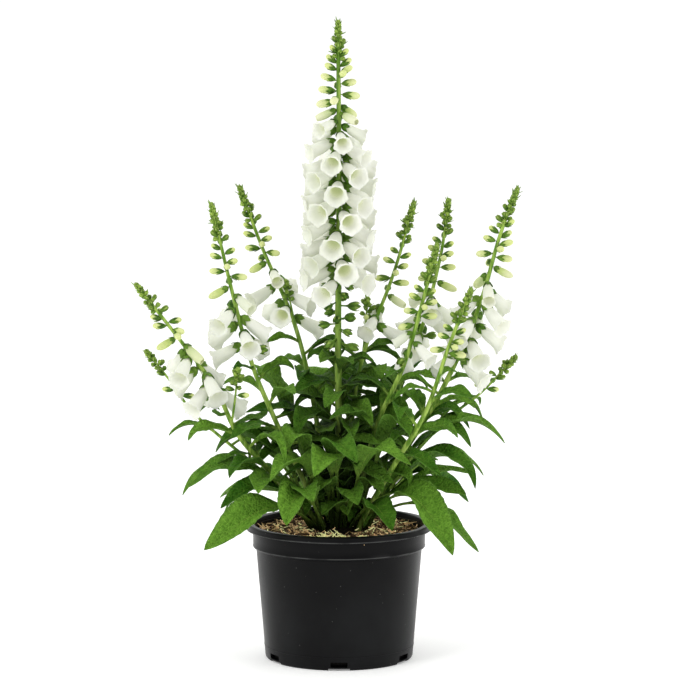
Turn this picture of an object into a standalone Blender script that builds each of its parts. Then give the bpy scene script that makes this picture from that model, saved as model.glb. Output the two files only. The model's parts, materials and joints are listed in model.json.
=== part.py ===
"""Potted white foxglove: a nursery pot with its potting mix, a crown with basal leaves, one tall and
ten shorter leafy stems, and the flower spikes on them, hung with white bells.

Metres, +Z up. The origin is the centre of the pot's underside. Sizes below are in millimetres."""

import itertools
import math
import random

import bmesh
import bpy
from mathutils import Matrix, Vector
from mathutils.bvhtree import BVHTree

MM = 0.001
GAP = 0.35  # between pieces that stand against each other

# The pot, from its rim down
POT_HEIGHT = 142
LIP_RADIUS = 96.8
LIP_HEIGHT = 6.5
COLLAR_RADIUS = 90.4
COLLAR_HEIGHT = 18
BODY_RADIUS = 86.8
BASE_RADIUS = 77.2
CORNER = 2.5
WALL = 1.6
FLOOR = 1.8
POT_SIDES = 24
SLOTS = 6
SLOT_WIDTH = 17.5
SLOT_TOP = 9

# The potting mix and the crown on it
MIX_TOP = 134
MIX_FLAT = 38  # radius of the level patch that the crown sits on
MIX_SIDES = 14
CROWN_RADIUS = 34
CROWN_HEIGHT = 10
CROWN_SIDES = 12
HOLE_CLEARANCE = 0.4
STRAIGHT_FOOT = 32  # the lowest length of every stem, which stands straight in its hole

# Every piece of the plant turns on by this angle from the one below it
GOLDEN_ANGLE = 137.5

# The buds stand mostly to both sides of the front view
BUD_TURNS = (172, 8, 262, 198, 344, 86, 156, 24, 190, 330, 285, 170, 350, 100)

# A bloom along its axis, from the stem's centre line: stalk, calyx, then the bell
CALYX_END = 12
BELL_LENGTH = 29.5
BELL_MOUTH = 12.8
BELL_THROAT = 7.6
BELL_THROAT_END = 21
BELL_SIDES = 5
LOWER_LOBE = 2.6
HUSK_STEP = 4.7
HUSK_LENGTH = 14
HUSK_RADIUS = 3.0
TIP_SLIMNESS = 0.19
TIP_REACH = 1.08
SHOOT_TIP = 11
BUD_BULGE = 0.66  # how far along a bud it is thickest
OPENING_PACE = (3.0, 8.0)  # how fast the bells open down a spike, on a side stem and on the main one

# The stems. line holds the places that the centre line passes from the mix to the tip, and foot the
# radius there. cone, buds and bells are how far down from the tip each zone ends. husks, leaves,
# bud_count and bell_count say how many there are: a husk is a calyx whose bell has dropped. droop is how
# far the open bells point below the level, and phase the compass angle of the first one.
STEMS = {
    "main": {
        "line": [(0, 0, 119), (0, 1, 200), (-1, 0, 330), (0, -1, 500), (-1, 0, 664)],
        "foot": 3.5, "cone": 30, "buds": 84, "bells": 268, "husks": 14, "leaves": 30, "leaf_width": 32,
        "bud_count": 18, "bud_size": 0.96, "bell_count": 47, "bell_size": 1.0, "droop": 21, "phase": 40,
    },
    "left": {
        "line": [(-15, -8, 119), (-24, -12, 146), (-62, -26, 190), (-103, -38, 238), (-128, -42, 290),
                 (-164, -46, 340), (-208, -50, 397)],
        "foot": 2.7, "cone": 25, "buds": 66, "bells": 138, "husks": 1, "leaves": 9, "leaf_width": 25,
        "bud_count": 11, "bud_size": 0.8, "bell_count": 10, "bell_size": 0.94, "droop": 45, "phase": 200,
    },
    "far_left": {
        "line": [(-25, 8, 119), (-32, 9, 143), (-83, 14, 195), (-149, 19, 251), (-177, 22, 288),
                 (-203, 25, 320)],
        "foot": 1.9, "cone": 18, "buds": 62, "bells": 0, "husks": 0, "leaves": 6, "leaf_width": 14,
        "bud_count": 8, "bud_size": 0.7, "bell_count": 0, "bell_size": 1.0, "droop": 0, "phase": 0,
    },
    "inner_left": {
        "line": [(-14, -17, 119), (-18, -18, 146), (-66, -20, 252), (-90, -16, 310), (-108, -13, 375),
                 (-132, -12, 477)],
        "foot": 2.6, "cone": 28, "buds": 84, "bells": 152, "husks": 1, "leaves": 11, "leaf_width": 27,
        "bud_count": 14, "bud_size": 0.82, "bell_count": 9, "bell_size": 0.94, "droop": 33, "phase": 180,
    },
    "back_left": {
        "line": [(-10, 15, 119), (-12, 16, 146), (-25, 20, 255), (-46, 30, 345), (-80, 42, 425),
                 (-105, 46, 491)],
        "foot": 2.6, "cone": 28, "buds": 80, "bells": 150, "husks": 1, "leaves": 11, "leaf_width": 27,
        "bud_count": 14, "bud_size": 0.8, "bell_count": 8, "bell_size": 0.9, "droop": 24, "phase": 150,
    },
    "back": {
        "line": [(8, 17, 119), (9, 18, 146), (14, 22, 250), (26, 28, 317), (57, 38, 399), (79, 45, 475)],
        "foot": 2.4, "cone": 31, "buds": 96, "bells": 140, "husks": 1, "leaves": 11, "leaf_width": 27,
        "bud_count": 14, "bud_size": 0.8, "bell_count": 4, "bell_size": 0.84, "droop": 31, "phase": 330,
    },
    "back_right": {
        "line": [(17, 13, 119), (19, 15, 146), (52, 36, 250), (84, 52, 330), (107, 66, 414),
                 (116, 72, 476)],
        "foot": 2.5, "cone": 27, "buds": 84, "bells": 146, "husks": 1, "leaves": 11, "leaf_width": 27,
        "bud_count": 15, "bud_size": 0.84, "bell_count": 8, "bell_size": 0.92, "droop": 35, "phase": 0,
    },
    "inner_right": {
        "line": [(13, -13, 119), (15, -14, 146), (38, -20, 243), (67, -28, 311), (87, -33, 381),
                 (101, -35, 437)],
        "foot": 2.7, "cone": 32, "buds": 88, "bells": 118, "husks": 1, "leaves": 11, "leaf_width": 25,
        "bud_count": 15, "bud_size": 0.84, "bell_count": 3, "bell_size": 0.8, "droop": 40, "phase": 190,
    },
    "right": {
        "line": [(25, 1, 119), (30, 2, 146), (66, 6, 212), (105, 10, 275), (144, 13, 361),
                 (167, 15, 440), (186, 17, 491)],
        "foot": 2.9, "cone": 34, "buds": 82, "bells": 190, "husks": 1, "leaves": 9, "leaf_width": 25,
        "bud_count": 14, "bud_size": 0.88, "bell_count": 14, "bell_size": 0.96, "droop": 42, "phase": 350,
    },
    "front_right": {
        "line": [(19, -22, 119), (23, -24, 146), (57, -38, 208), (89, -54, 266), (112, -72, 336),
                 (134, -82, 395)],
        "foot": 2.7, "cone": 28, "buds": 74, "bells": 0, "husks": 2, "leaves": 11, "leaf_width": 25,
        "bud_count": 13, "bud_size": 0.8, "bell_count": 0, "bell_size": 1.0, "droop": 0, "phase": 0,
    },
    "far_right": {
        "line": [(26, 13, 119), (32, 14, 144), (70, 22, 200), (115, 31, 247), (150, 38, 274),
                 (187, 42, 312)],
        "foot": 1.9, "cone": 18, "buds": 50, "bells": 0, "husks": 0, "leaves": 6, "leaf_width": 14,
        "bud_count": 8, "bud_size": 0.68, "bell_count": 0, "bell_size": 1.0, "droop": 0, "phase": 0,
    },
}

# Short shoots that branch off a leafy stem: how far down from its tip, where the shoot ends, its buds
SHOOTS = {
    "left": (176, (-103, -58, 311), 6),
    "back_left": (196, (-56, 22, 394), 2),
    "back": (172, (30, 42, 374), 3),
}

# The large basal leaves that the front view shows: compass angle, reach, height of the tip, height
# of the arch, width, and the share of the length that is bare stalk
FRONT_LEAVES = [
    (217, 158, 123, 66, 40, 0.32),
    (320, 142, 119, 88, 42, 0.32),
    (240, 112, 154, 62, 42, 0.26),
    (297, 102, 144, 52, 32, 0.30),
    (259, 90, 200, 70, 36, 0.30),
    (233, 100, 194, 64, 34, 0.30),
    (348, 142, 111, 60, 24, 0.38),
    (182, 134, 214, 66, 24, 0.32),
    (189, 172, 178, 78, 20, 0.32),
    (198, 160, 188, 76, 27, 0.30),
    (207, 128, 163, 60, 24, 0.30),
    (3, 168, 223, 78, 21, 0.32),
    (357, 138, 226, 70, 22, 0.30),
    (12, 154, 184, 74, 24, 0.32),
    (346, 158, 190, 70, 25, 0.30),
    (275, 96, 218, 60, 32, 0.28),
    (303, 112, 208, 64, 34, 0.28),
    (263, 66, 158, 34, 26, 0.30),
    (285, 76, 172, 38, 26, 0.30),
    (226, 84, 232, 50, 30, 0.28),
    (322, 92, 240, 50, 30, 0.28),
    (250, 64, 184, 34, 24, 0.30),
    (310, 66, 180, 34, 24, 0.30),
    (205, 82, 190, 40, 24, 0.30),
    (335, 84, 192, 40, 24, 0.30),
]
BACK_LEAVES = 11
BACK_ARC = (28, 156)  # compass angles between which the unseen basal leaves stand, in these tiers
BACK_TIERS = [(150, 140, 84, 38, 0.32), (108, 292, 36, 34, 0.32), (92, 214, 44, 36, 0.30)]

LEAF_THICKNESS = 1.5
STALK_HALF_WIDTH = 1.7
KNEE = 0.58  # how far along a leaf its arch is pulled up
LEAF_STEPS = 24  # fine steps along a leaf, of which the solids use a few
LEAF_STATIONS = (0, 7, 13, 19, 24)
SMALL_LEAF_STATIONS = (0, 7, 16, 24)

# Where a leaf is tried until it stands clear: swings of its angle, shares of the crown's radius for its
# root, and lifts of its tip and its arch
LEAF_SWINGS = (0, 6, -6, 12, -12, 19, -19, 27, -27, 36, -36, 46, -46, 58, -58)
ROOT_SPOTS = (0.7, 0.93, 0.82)
LEAF_LIFTS = ((0, 0), (0, 14), (0, -14), (0, 28), (0, -28), (8, 0), (-8, 0), (8, 20), (16, 0))


def between(low, high, share):
    return low + (high - low) * share


def smooth_line(places, count):
    """Evenly numbered points of a Catmull-Rom curve through the places."""
    ends = [places[0] * 2 - places[1]] + places + [places[-1] * 2 - places[-2]]
    spans = len(places) - 1
    points = []
    for i in range(count + 1):
        at = min(i * spans / count, spans - 1e-9)
        k = int(at)
        t = at - k
        a, b, c, d = ends[k:k + 4]
        points.append(0.5 * (2 * b + (c - a) * t + (2 * a - 5 * b + 4 * c - d) * t**2
                             + (3 * b - a - 3 * c + d) * t**3))
    return points


class Stem:
    """A stem's centre line, read by the distance down from its tip."""

    def __init__(self, places, foot):
        self.points = smooth_line([Vector(p) for p in places], 96)[::-1]
        self.foot = foot
        self.marks = [0.0]
        for a, b in zip(self.points, self.points[1:]):
            self.marks.append(self.marks[-1] + (b - a).length)
        self.length = self.marks[-1]

    def place(self, down):
        """The point and the upward direction at a distance from the tip."""
        down = min(max(down, 0), self.length)
        k = 1
        while self.marks[k] < down and k < len(self.marks) - 1:
            k += 1
        t = (down - self.marks[k - 1]) / (self.marks[k] - self.marks[k - 1])
        return self.points[k - 1].lerp(self.points[k], t), (self.points[k - 1] - self.points[k]).normalized()

    def radius(self, down):
        return self.foot * between(0.5, 1, min(down / (0.75 * self.length), 1) ** 0.8)


def spike_end(name):
    """How far down from the tip the flower spike ends and the leafy stem begins."""
    facts = STEMS[name]
    return max(facts["bells"], facts["buds"]) + HUSK_STEP * facts["husks"] + 10


def outline_shape(profile, sides, frame):
    """Points and faces of a closed turned shape, from (radius, height) pairs."""
    points = []
    for r, z in profile:
        for i in range(sides):
            turn = 2 * math.pi * i / sides
            points.append(frame @ Vector((r * math.cos(turn), r * math.sin(turn), z)))
    faces = [tuple(range(sides))[::-1]]
    for k in range(len(profile) - 1):
        for i in range(sides):
            a = k * sides + i
            b = k * sides + (i + 1) % sides
            faces.append((a, b, b + sides, a + sides))
    faces.append(tuple(range(len(points) - sides, len(points))))
    return points, faces


def tube_shape(stem, low, high, grow):
    """Points and faces of a stem's tube between two distances from its tip, grown all round."""
    points = []
    faces = []
    rings = 24
    for k in range(rings + 1):
        down = between(low, high, k / rings)
        centre, up = stem.place(down)
        side = up.orthogonal().normalized()
        for i in range(6):
            spoke = Matrix.Rotation(math.radians(60 * i), 3, up) @ side
            points.append(centre + spoke * (stem.radius(down) + grow))
    for k in range(rings):
        for i in range(6):
            a = k * 6 + i
            b = k * 6 + (i + 1) % 6
            faces.append((a, b, b + 6, a + 6))
    return points, faces


def tip_frame(stem, cone):
    """The placement of the pointed bunch of young buds at a stem's tip."""
    root, up = stem.place(cone)
    return hanging_frame(root, up)


def tip_shape(stem, cone):
    profile = [(0.5, 0), (cone * TIP_SLIMNESS + 0.4, cone * 0.6), (0.5, cone * TIP_REACH + 0.5)]
    return outline_shape(profile, 6, tip_frame(stem, cone))


def heading(azimuth, rise):
    """The direction at a compass angle and an angle above the horizontal, in degrees."""
    a = math.radians(azimuth)
    e = math.radians(rise)
    return Vector((math.cos(a) * math.cos(e), math.sin(a) * math.cos(e), math.sin(e)))


def hanging_frame(root, direction):
    """A placement with +Z along a direction and +X as far down as that allows."""
    down = Vector((0, 0, -1))
    x = down - direction * down.dot(direction)
    if x.length < 0.01:
        x = Vector((1, 0, 0))
    x.normalize()
    y = direction.cross(x)
    frame = Matrix((x, y, direction)).transposed().to_4x4()
    frame.translation = root
    return frame


class Room:
    """What already stands where, by node, so that a new piece can be bent clear of the others."""

    def __init__(self):
        self.trees = []

    def add(self, owner, shape):
        self.trees.append((owner, BVHTree.FromPolygons(*shape)))

    def free(self, owner, shape):
        tree = BVHTree.FromPolygons(*shape)
        return not any(other != owner and tree.overlap(there) for other, there in self.trees)


class Leaf:
    """A leaf on an arched centre line from its root to its tip."""

    def __init__(self, root, tip, arch, width, stalk, roll, sway, wave, turn):
        out = tip - root
        self.root = root
        self.tip = tip
        self.knee = root.lerp(tip, KNEE) + Vector((out.y, -out.x, 0)) * sway
        self.knee.z = max(root.z, tip.z) + arch
        self.width = width
        self.stalk = stalk
        self.roll = roll
        self.wave = wave
        self.turn = turn

    def frame(self, t):
        """The centre, side and up vectors at a share of the length."""
        a = self.root.lerp(self.knee, t)
        b = self.knee.lerp(self.tip, t)
        tangent = (b - a).normalized()
        out = tangent + (self.tip - self.root).normalized() * 0.4
        up = Vector((out.y, -out.x, 0)).cross(tangent).normalized()
        tilt = Matrix.Rotation(math.radians(self.roll) * t, 3, tangent)
        return a.lerp(b, t), tilt @ tangent.cross(up), tilt @ up

    def half_width(self, t):
        """Narrow along the stalk, then a lance, widest before its middle."""
        if t <= self.stalk:
            return STALK_HALF_WIDTH
        u = (t - self.stalk) / (1 - self.stalk)
        return STALK_HALF_WIDTH * (1 - u) + self.width / 2 * math.sin(math.pi * u**0.95)

    def lift(self, t, across):
        """How far the blade stands off its centre line's plane, from -1 to 1 across."""
        if t <= self.stalk:
            return 0.0
        u = (t - self.stalk) / (1 - self.stalk)
        fold = 0.22 * abs(across) * self.half_width(t)
        ripple = self.wave * math.sin(9 * u + self.turn + 1.5 * across) * across * math.sin(math.pi * u)
        return fold + ripple

    def shape(self, stations, grow):
        """Points and triangles of the blade, thick along its rib and sharp at its edges, grown all round."""
        points = []
        faces = []
        for k in stations[:-1]:
            t = k / LEAF_STEPS
            centre, side, up = self.frame(t)
            half = self.half_width(t) + grow
            thick = LEAF_THICKNESS / 2 + grow
            points.append(centre - side * half + up * self.lift(t, -1))
            points.append(centre + up * thick)
            points.append(centre + side * half + up * self.lift(t, 1))
            points.append(centre - up * thick)
        for k in range(len(stations) - 2):
            a = 4 * k
            b = a + 4
            faces += [(a, a + 1, b + 1), (a, b + 1, b), (a + 2, b + 1, a + 1), (a + 2, b + 2, b + 1)]
            faces += [(a + 2, a + 3, b + 3), (a + 2, b + 3, b + 2), (a, b + 3, a + 3), (a, b, b + 3)]
        end = len(points)
        points.append(self.tip.copy())
        last = end - 4
        faces += [(last + i, last + (i + 1) % 4, end) for i in range(4)]
        faces += [(0, 2, 1), (0, 3, 2)]
        return points, faces


class Plan:
    """Where every part of the plant stands. Each new piece is turned until it is clear of other nodes."""

    def __init__(self):
        self.room = Room()
        self.stems = {}
        self.shoots = {}
        self.blooms = {name: [] for name in STEMS}  # (frame, openness)
        self.husks = {name: [] for name in STEMS}  # frames
        self.buds = {name: [] for name in STEMS}  # (frame, length, radius)
        self.shoot_buds = {name: [] for name in STEMS}
        self.leaves = {name: [] for name in STEMS}
        self.leaves["crown"] = []
        self.stand_pot()
        for name, facts in STEMS.items():
            stem = Stem(facts["line"], facts["foot"])
            end = spike_end(name)
            self.stems[name] = stem
            self.room.add(name + " spike", tube_shape(stem, 0, end, 0.4))
            self.room.add(name + " spike", tip_shape(stem, facts["cone"]))
            self.room.add(name, tube_shape(stem, end, stem.length, 0.4))
        for name, (down, tip, count) in SHOOTS.items():
            start, up = self.stems[name].place(down)
            knee = start.lerp(Vector(tip), 0.45) + Vector((0, 0, -4))
            self.shoots[name] = Stem([start, knee, Vector(tip)], 1.2)
            self.room.add(name, tube_shape(self.shoots[name], 0, self.shoots[name].length, 0.4))
            self.room.add(name, tip_shape(self.shoots[name], SHOOT_TIP))
        for name in STEMS:
            self.hang_bells(name)
        for name in STEMS:
            self.set_husks(name)
            facts = STEMS[name]
            self.set_buds(name + " spike", self.buds[name], self.stems[name], facts["cone"] * 0.75,
                          facts["buds"], facts["bud_count"], facts["bud_size"])
        for name, (down, end, count) in SHOOTS.items():
            self.set_buds(name, self.shoot_buds[name], self.shoots[name], 6, 8 + 5 * count, count, 0.7)
        self.set_basal_leaves()
        for name in STEMS:
            self.set_stem_leaves(name)

    def stand_pot(self):
        """The pot's wall and the mix, a little larger than they are."""
        rim = POT_HEIGHT + 1.5
        inner = COLLAR_RADIUS - 3
        outer = LIP_RADIUS + 1.5
        wall = [(outer, 60), (outer, rim), (inner, rim), (inner, 60)]
        self.room.add("pot", outline_shape(wall, 36, Matrix()))
        top = MIX_TOP + 2.8
        core = CROWN_RADIUS - 2
        filling = [(inner, 100), (inner, top), (core, top), (core, 100)]
        self.room.add("mix", outline_shape(filling, 36, Matrix()))

    def hang_bells(self, name):
        facts = STEMS[name]
        stem = self.stems[name]
        for i in range(facts["bell_count"]):
            draw = random.Random(f"{name} bell {i}")
            share = (i + 0.5) / facts["bell_count"]
            root, up = stem.place(between(facts["buds"], facts["bells"], share))
            size = facts["bell_size"] * min(0.62 + 1.2 * share, 1) * draw.uniform(0.96, 1.04)
            openness = min(0.35 + OPENING_PACE[name == "main"] * share, 1)
            azimuth = GOLDEN_ANGLE * i + draw.uniform(-7, 7) + facts["phase"]
            droop = between(25, facts["droop"], min(share * 3, 1)) + draw.uniform(-5, 5)
            self.try_bell(name, root, azimuth, droop, size, openness)

    def try_bell(self, name, root, azimuth, droop, size, openness):
        mouth = between(0.5, 1, openness) * BELL_MOUTH
        profile = [(1.6, 3), (BELL_THROAT + 1.2, BELL_THROAT_END),
                   (mouth * 1.1, CALYX_END + BELL_LENGTH + LOWER_LOBE)]
        for swing in (0, 7, -7, 14, -14, 22, -22, 30, -30, 40, -40):
            for sink in (0, 9, -9):
                frame = hanging_frame(root, heading(azimuth + swing, -droop - sink)) @ Matrix.Scale(size, 4)
                bloom = outline_shape(profile, 6, frame)
                if self.room.free(name + " spike", bloom):
                    self.room.add(name + " spike", bloom)
                    self.blooms[name].append((frame, openness))
                    return

    def set_husks(self, name):
        facts = STEMS[name]
        for i in range(facts["husks"]):
            draw = random.Random(f"{name} husk {i}")
            root, up = self.stems[name].place(max(facts["bells"], facts["buds"]) + HUSK_STEP * (i + 0.6))
            azimuth = GOLDEN_ANGLE * (i + facts["bell_count"]) + facts["phase"]
            frame = hanging_frame(root, heading(azimuth, draw.uniform(-25, 5)))
            frame = frame @ Matrix.Scale(draw.uniform(1.25, 1.6), 4)
            profile = [(1.2, 4), (HUSK_RADIUS + 0.6, HUSK_LENGTH), (HUSK_RADIUS, HUSK_LENGTH + 0.6)]
            husk = outline_shape(profile, 6, frame)
            if self.room.free(name + " spike", husk):
                self.room.add(name + " spike", husk)
                self.husks[name].append(frame)

    def set_buds(self, owner, buds, stem, first, last, count, size):
        for i in range(count):
            draw = random.Random(f"{owner} bud {i}")
            share = (i + 0.5) / count
            root, up = stem.place(between(first, last, share))
            length = size * between(11, 25, share) * draw.uniform(0.94, 1.06)
            radius = size * between(2.5, 4.6, share)
            azimuth = BUD_TURNS[i % len(BUD_TURNS)] + draw.uniform(-10, 10)
            for swing in (0, 12, -12, 25, -25):
                out = heading(azimuth + swing, between(38, -14, share) + draw.uniform(-4, 4))
                frame = hanging_frame(root, (out + up * between(0.5, 0, share)).normalized())
                profile = [(0.8, 1.5), (radius * 1.12 + 0.3, length * BUD_BULGE), (0.8, length + 0.5)]
                bud = outline_shape(profile, 6, frame)
                if self.room.free(owner, bud):
                    self.room.add(owner, bud)
                    buds.append((frame, length, radius))
                    break

    def try_leaf(self, owner, roots_at, azimuth, reach, rise, arch, width, stalk, draw, stations):
        """Adds a leaf whose tip lies out by reach and up by rise, where it stands clear."""
        roll = draw.uniform(-26, 26) + 34 * math.cos(math.radians(azimuth))
        sway = draw.uniform(-0.26, 0.26)
        wave = width * draw.uniform(0.04, 0.09)
        turn = draw.uniform(0, 6.28)
        for size in (1, 0.88, 0.76, 0.62):
            for swing in LEAF_SWINGS:
                for root, (lift, more) in itertools.product(roots_at(azimuth + swing), LEAF_LIFTS):
                    tip = root + heading(azimuth + swing, 0) * reach * size
                    tip.z = root.z + (rise + lift) * size
                    leaf = Leaf(root, tip, (arch + more) * size, width * size, stalk, roll, sway, wave, turn)
                    if self.room.free(owner, leaf.shape(stations, 0.45)):
                        self.room.add(owner, leaf.shape(stations, 0))
                        self.leaves[owner].append(leaf)
                        return

    def set_basal_leaves(self):
        rows = list(FRONT_LEAVES)
        for i in range(BACK_LEAVES):
            angle = between(BACK_ARC[0], BACK_ARC[1], (i + 0.5) / BACK_LEAVES)
            rows.append((angle, *BACK_TIERS[i % len(BACK_TIERS)]))
        for i, (azimuth, reach, height, arch, width, stalk) in enumerate(rows):
            draw = random.Random(f"basal {i}")
            low = MIX_TOP + CROWN_HEIGHT * 0.35

            def roots_at(angle):
                return [heading(angle, 0) * CROWN_RADIUS * out + Vector((0, 0, low)) for out in ROOT_SPOTS]

            self.try_leaf("crown", roots_at, azimuth, reach - CROWN_RADIUS * 0.8, height - low, arch, width,
                          stalk, draw, LEAF_STATIONS)

    def set_stem_leaves(self, name):
        facts = STEMS[name]
        stem = self.stems[name]
        lowest = stem.length - 46
        highest = spike_end(name) + 6
        for i in range(facts["leaves"]):
            draw = random.Random(f"{name} leaf {i}")
            share = (i + 0.5) / facts["leaves"]
            root, up = stem.place(between(highest, lowest, share**1.1))
            reach = between(36, 94, share) * draw.uniform(0.88, 1.12)
            width = facts["leaf_width"] * between(0.4, 1, share) * draw.uniform(0.88, 1.12)
            rise = between(12, 22, share) * draw.uniform(-0.4, 1.3)
            arch = between(12, 34, share)
            azimuth = GOLDEN_ANGLE * i + facts["phase"] + 60
            self.try_leaf(name, lambda angle: [root], azimuth, reach, rise, arch, width, 0.12, draw,
                          SMALL_LEAF_STATIONS)


def clear_scene():
    for there in list(bpy.data.objects):
        bpy.data.objects.remove(there)


def finish(name, colour, roughness):
    material = bpy.data.materials.new(name)
    material.use_nodes = True
    shader = material.node_tree.nodes["Principled BSDF"]
    shader.inputs["Base Color"].default_value = (*colour, 1)
    shader.inputs["Roughness"].default_value = roughness
    shader.inputs["Metallic"].default_value = 0
    return material


def baked(shape):
    """The evaluated mesh of an object, which is then removed."""
    bpy.context.view_layer.update()
    depsgraph = bpy.context.evaluated_depsgraph_get()
    mesh = bpy.data.meshes.new_from_object(shape.evaluated_get(depsgraph))
    bpy.data.objects.remove(shape)
    return mesh


def edited(mesh, edit):
    """The same mesh after a bmesh edit."""
    bm = bmesh.new()
    bm.from_mesh(mesh)
    edit(bm)
    bm.to_mesh(mesh)
    bm.free()
    return mesh


def close_ends(bm):
    bmesh.ops.remove_doubles(bm, verts=bm.verts, dist=1e-6)
    bmesh.ops.holes_fill(bm, edges=bm.edges, sides=0)
    bmesh.ops.recalc_face_normals(bm, faces=bm.faces)


def turned(profile, sides):
    """A body turned about +Z from (radius, height) points in mm, with its open ends closed flat."""
    mesh = bpy.data.meshes.new("profile")
    edges = [(i, i + 1) for i in range(len(profile) - 1)]
    mesh.from_pydata([(r * MM, 0, z * MM) for r, z in profile], edges, [])
    shape = bpy.data.objects.new("profile", mesh)
    bench.objects.link(shape)
    screw = shape.modifiers.new("turn", "SCREW")
    screw.steps = sides
    screw.render_steps = sides
    screw.merge_threshold = 0.000001
    screw.use_merge_vertices = True
    return edited(baked(shape), close_ends)


def solid(points, faces):
    """A mesh from points in mm."""
    mesh = bpy.data.meshes.new("solid")
    mesh.from_pydata([p * MM for p in points], [], faces)
    return mesh


def tube(stem, stations, fineness, grow=0.0):
    """A tapered tube along a stem, through distances from its tip, the foot first."""
    curve = bpy.data.curves.new("tube", "CURVE")
    curve.dimensions = "3D"
    curve.bevel_depth = MM
    curve.bevel_resolution = fineness
    curve.use_fill_caps = True
    spline = curve.splines.new("POLY")
    spline.points.add(len(stations) - 1)
    for point, down in zip(spline.points, stations):
        point.co = (*(stem.place(down)[0] * MM), 1)
        point.radius = stem.radius(down) + grow
    shape = bpy.data.objects.new("tube", curve)
    bench.objects.link(shape)
    return edited(baked(shape), close_ends)


def evenly(high, low, spacing):
    """Distances from one to another in equal steps of about the spacing."""
    count = max(1, round(abs(high - low) / spacing))
    return [between(high, low, k / count) for k in range(count + 1)]


def moved(mesh, frame):
    """A copy of a mesh in metres, placed by a frame in mm."""
    copy = mesh.copy()
    place = frame.copy()
    place.translation *= MM
    copy.transform(place)
    return copy


def bodies(bm):
    """The connected groups of faces, largest volume first."""
    left = set(bm.faces)
    groups = []
    while left:
        stack = [left.pop()]
        group = list(stack)
        while stack:
            for edge in stack.pop().edges:
                for face in edge.link_faces:
                    if face in left:
                        left.discard(face)
                        stack.append(face)
                        group.append(face)
        groups.append(group)

    def volume(group):
        total = 0.0
        for face in group:
            first = face.verts[0].co
            for a, b in zip(face.verts[1:], face.verts[2:]):
                total += first.dot(a.co.cross(b.co))
        return total

    return sorted(groups, key=volume, reverse=True)


def keep_largest(bm):
    """Fills sealed hollows and drops loose scraps that a union leaves."""
    for group in bodies(bm)[1:]:
        bmesh.ops.delete(bm, geom=group, context="FACES")
    bmesh.ops.triangulate(bm, faces=bm.faces)


def joined(meshes, operation="UNION"):
    """The first mesh joined with the others, or cut by them, in one Boolean on their collection."""
    group = bpy.data.collections.new("pieces")
    bpy.context.scene.collection.children.link(group)
    for mesh in meshes[1:]:
        group.objects.link(bpy.data.objects.new("piece", mesh))
    body = bpy.data.objects.new("body", meshes[0])
    bench.objects.link(body)
    boolean = body.modifiers.new("join", "BOOLEAN")
    boolean.operation = operation
    boolean.operand_type = "COLLECTION"
    boolean.collection = group
    boolean.solver = "MANIFOLD"
    mesh = baked(body)
    for piece in list(group.objects):
        bpy.data.objects.remove(piece)
    bpy.data.collections.remove(group)
    return edited(mesh, keep_largest)


def add_node(name, mesh, material):
    mesh.name = name
    mesh.materials.clear()
    mesh.materials.append(material)
    mesh.shade_smooth()
    mesh.set_sharp_from_angle(angle=math.radians(50))
    foxglove.objects.link(bpy.data.objects.new(name, mesh))


def box_mesh(turn, centre, size):
    bm = bmesh.new()
    bmesh.ops.create_cube(bm, size=1)
    for vert in bm.verts:
        vert.co = turn @ (Vector(centre) + Vector(vert.co) * Vector(size)) * MM
    mesh = bpy.data.meshes.new("box")
    bm.to_mesh(mesh)
    bm.free()
    return mesh


def make_pot():
    """A thin shell, with drain slots cut through its foot just above the floor."""
    lip = POT_HEIGHT - LIP_HEIGHT
    step = lip - COLLAR_HEIGHT
    outside = [
        (LIP_RADIUS - 1, POT_HEIGHT), (LIP_RADIUS, POT_HEIGHT - 1), (LIP_RADIUS, lip),
        (COLLAR_RADIUS, lip - 0.6), (COLLAR_RADIUS - 0.8, step), (BODY_RADIUS, step - 1.5),
        (BASE_RADIUS, CORNER * 2), (BASE_RADIUS - CORNER, 0),
    ]
    inside = [
        (COLLAR_RADIUS - WALL, POT_HEIGHT + 2), (COLLAR_RADIUS - WALL - 0.8, step + 1),
        (BODY_RADIUS - WALL, step - 0.5), (BASE_RADIUS - WALL, CORNER * 2 + FLOOR),
        (BASE_RADIUS - CORNER - WALL, FLOOR),
    ]
    shell = joined([turned(outside, POT_SIDES), turned(inside, POT_SIDES)], "DIFFERENCE")
    slots = []
    for i in range(SLOTS):
        turn = Matrix.Rotation(math.radians(360 / SLOTS * i - 90), 3, "Z")
        middle = (BASE_RADIUS - 3, 0, (SLOT_TOP + FLOOR) / 2)
        slots.append(box_mesh(turn, middle, (12, SLOT_WIDTH, SLOT_TOP - FLOOR)))
    return joined([shell] + slots, "DIFFERENCE")


def stem_holes(plan):
    """A plain peg for each stem's foot, from which the mix and the crown get their holes."""
    pegs = []
    for stem in plan.stems.values():
        pegs.append(tube(stem, [stem.length, stem.length - STRAIGHT_FOOT], 1, HOLE_CLEARANCE))
    return pegs


def make_mix(plan):
    """The filling, with a rough top and a plain hole for each stem."""
    step = POT_HEIGHT - LIP_HEIGHT - COLLAR_HEIGHT
    clear = WALL + 1.2
    profile = [
        (MIX_FLAT, MIX_TOP), (56, MIX_TOP), (72, MIX_TOP), (COLLAR_RADIUS - clear, MIX_TOP - 2),
        (COLLAR_RADIUS - 0.8 - clear, step + 2.2), (BODY_RADIUS - clear, step - 0.2),
        (BASE_RADIUS - clear, CORNER * 2 + FLOOR), (BASE_RADIUS - CORNER - clear, FLOOR + GAP),
    ]
    draw = random.Random("potting mix")

    def roughen(bm):
        for vert in bm.verts:
            radius = math.hypot(vert.co.x, vert.co.y) / MM
            if vert.co.z > (MIX_TOP - 1) * MM and radius > MIX_FLAT + 2:
                vert.co.z += draw.uniform(-1.8, 2.2) * MM

    return joined([edited(turned(profile, MIX_SIDES), roughen)] + stem_holes(plan), "DIFFERENCE")


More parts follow.
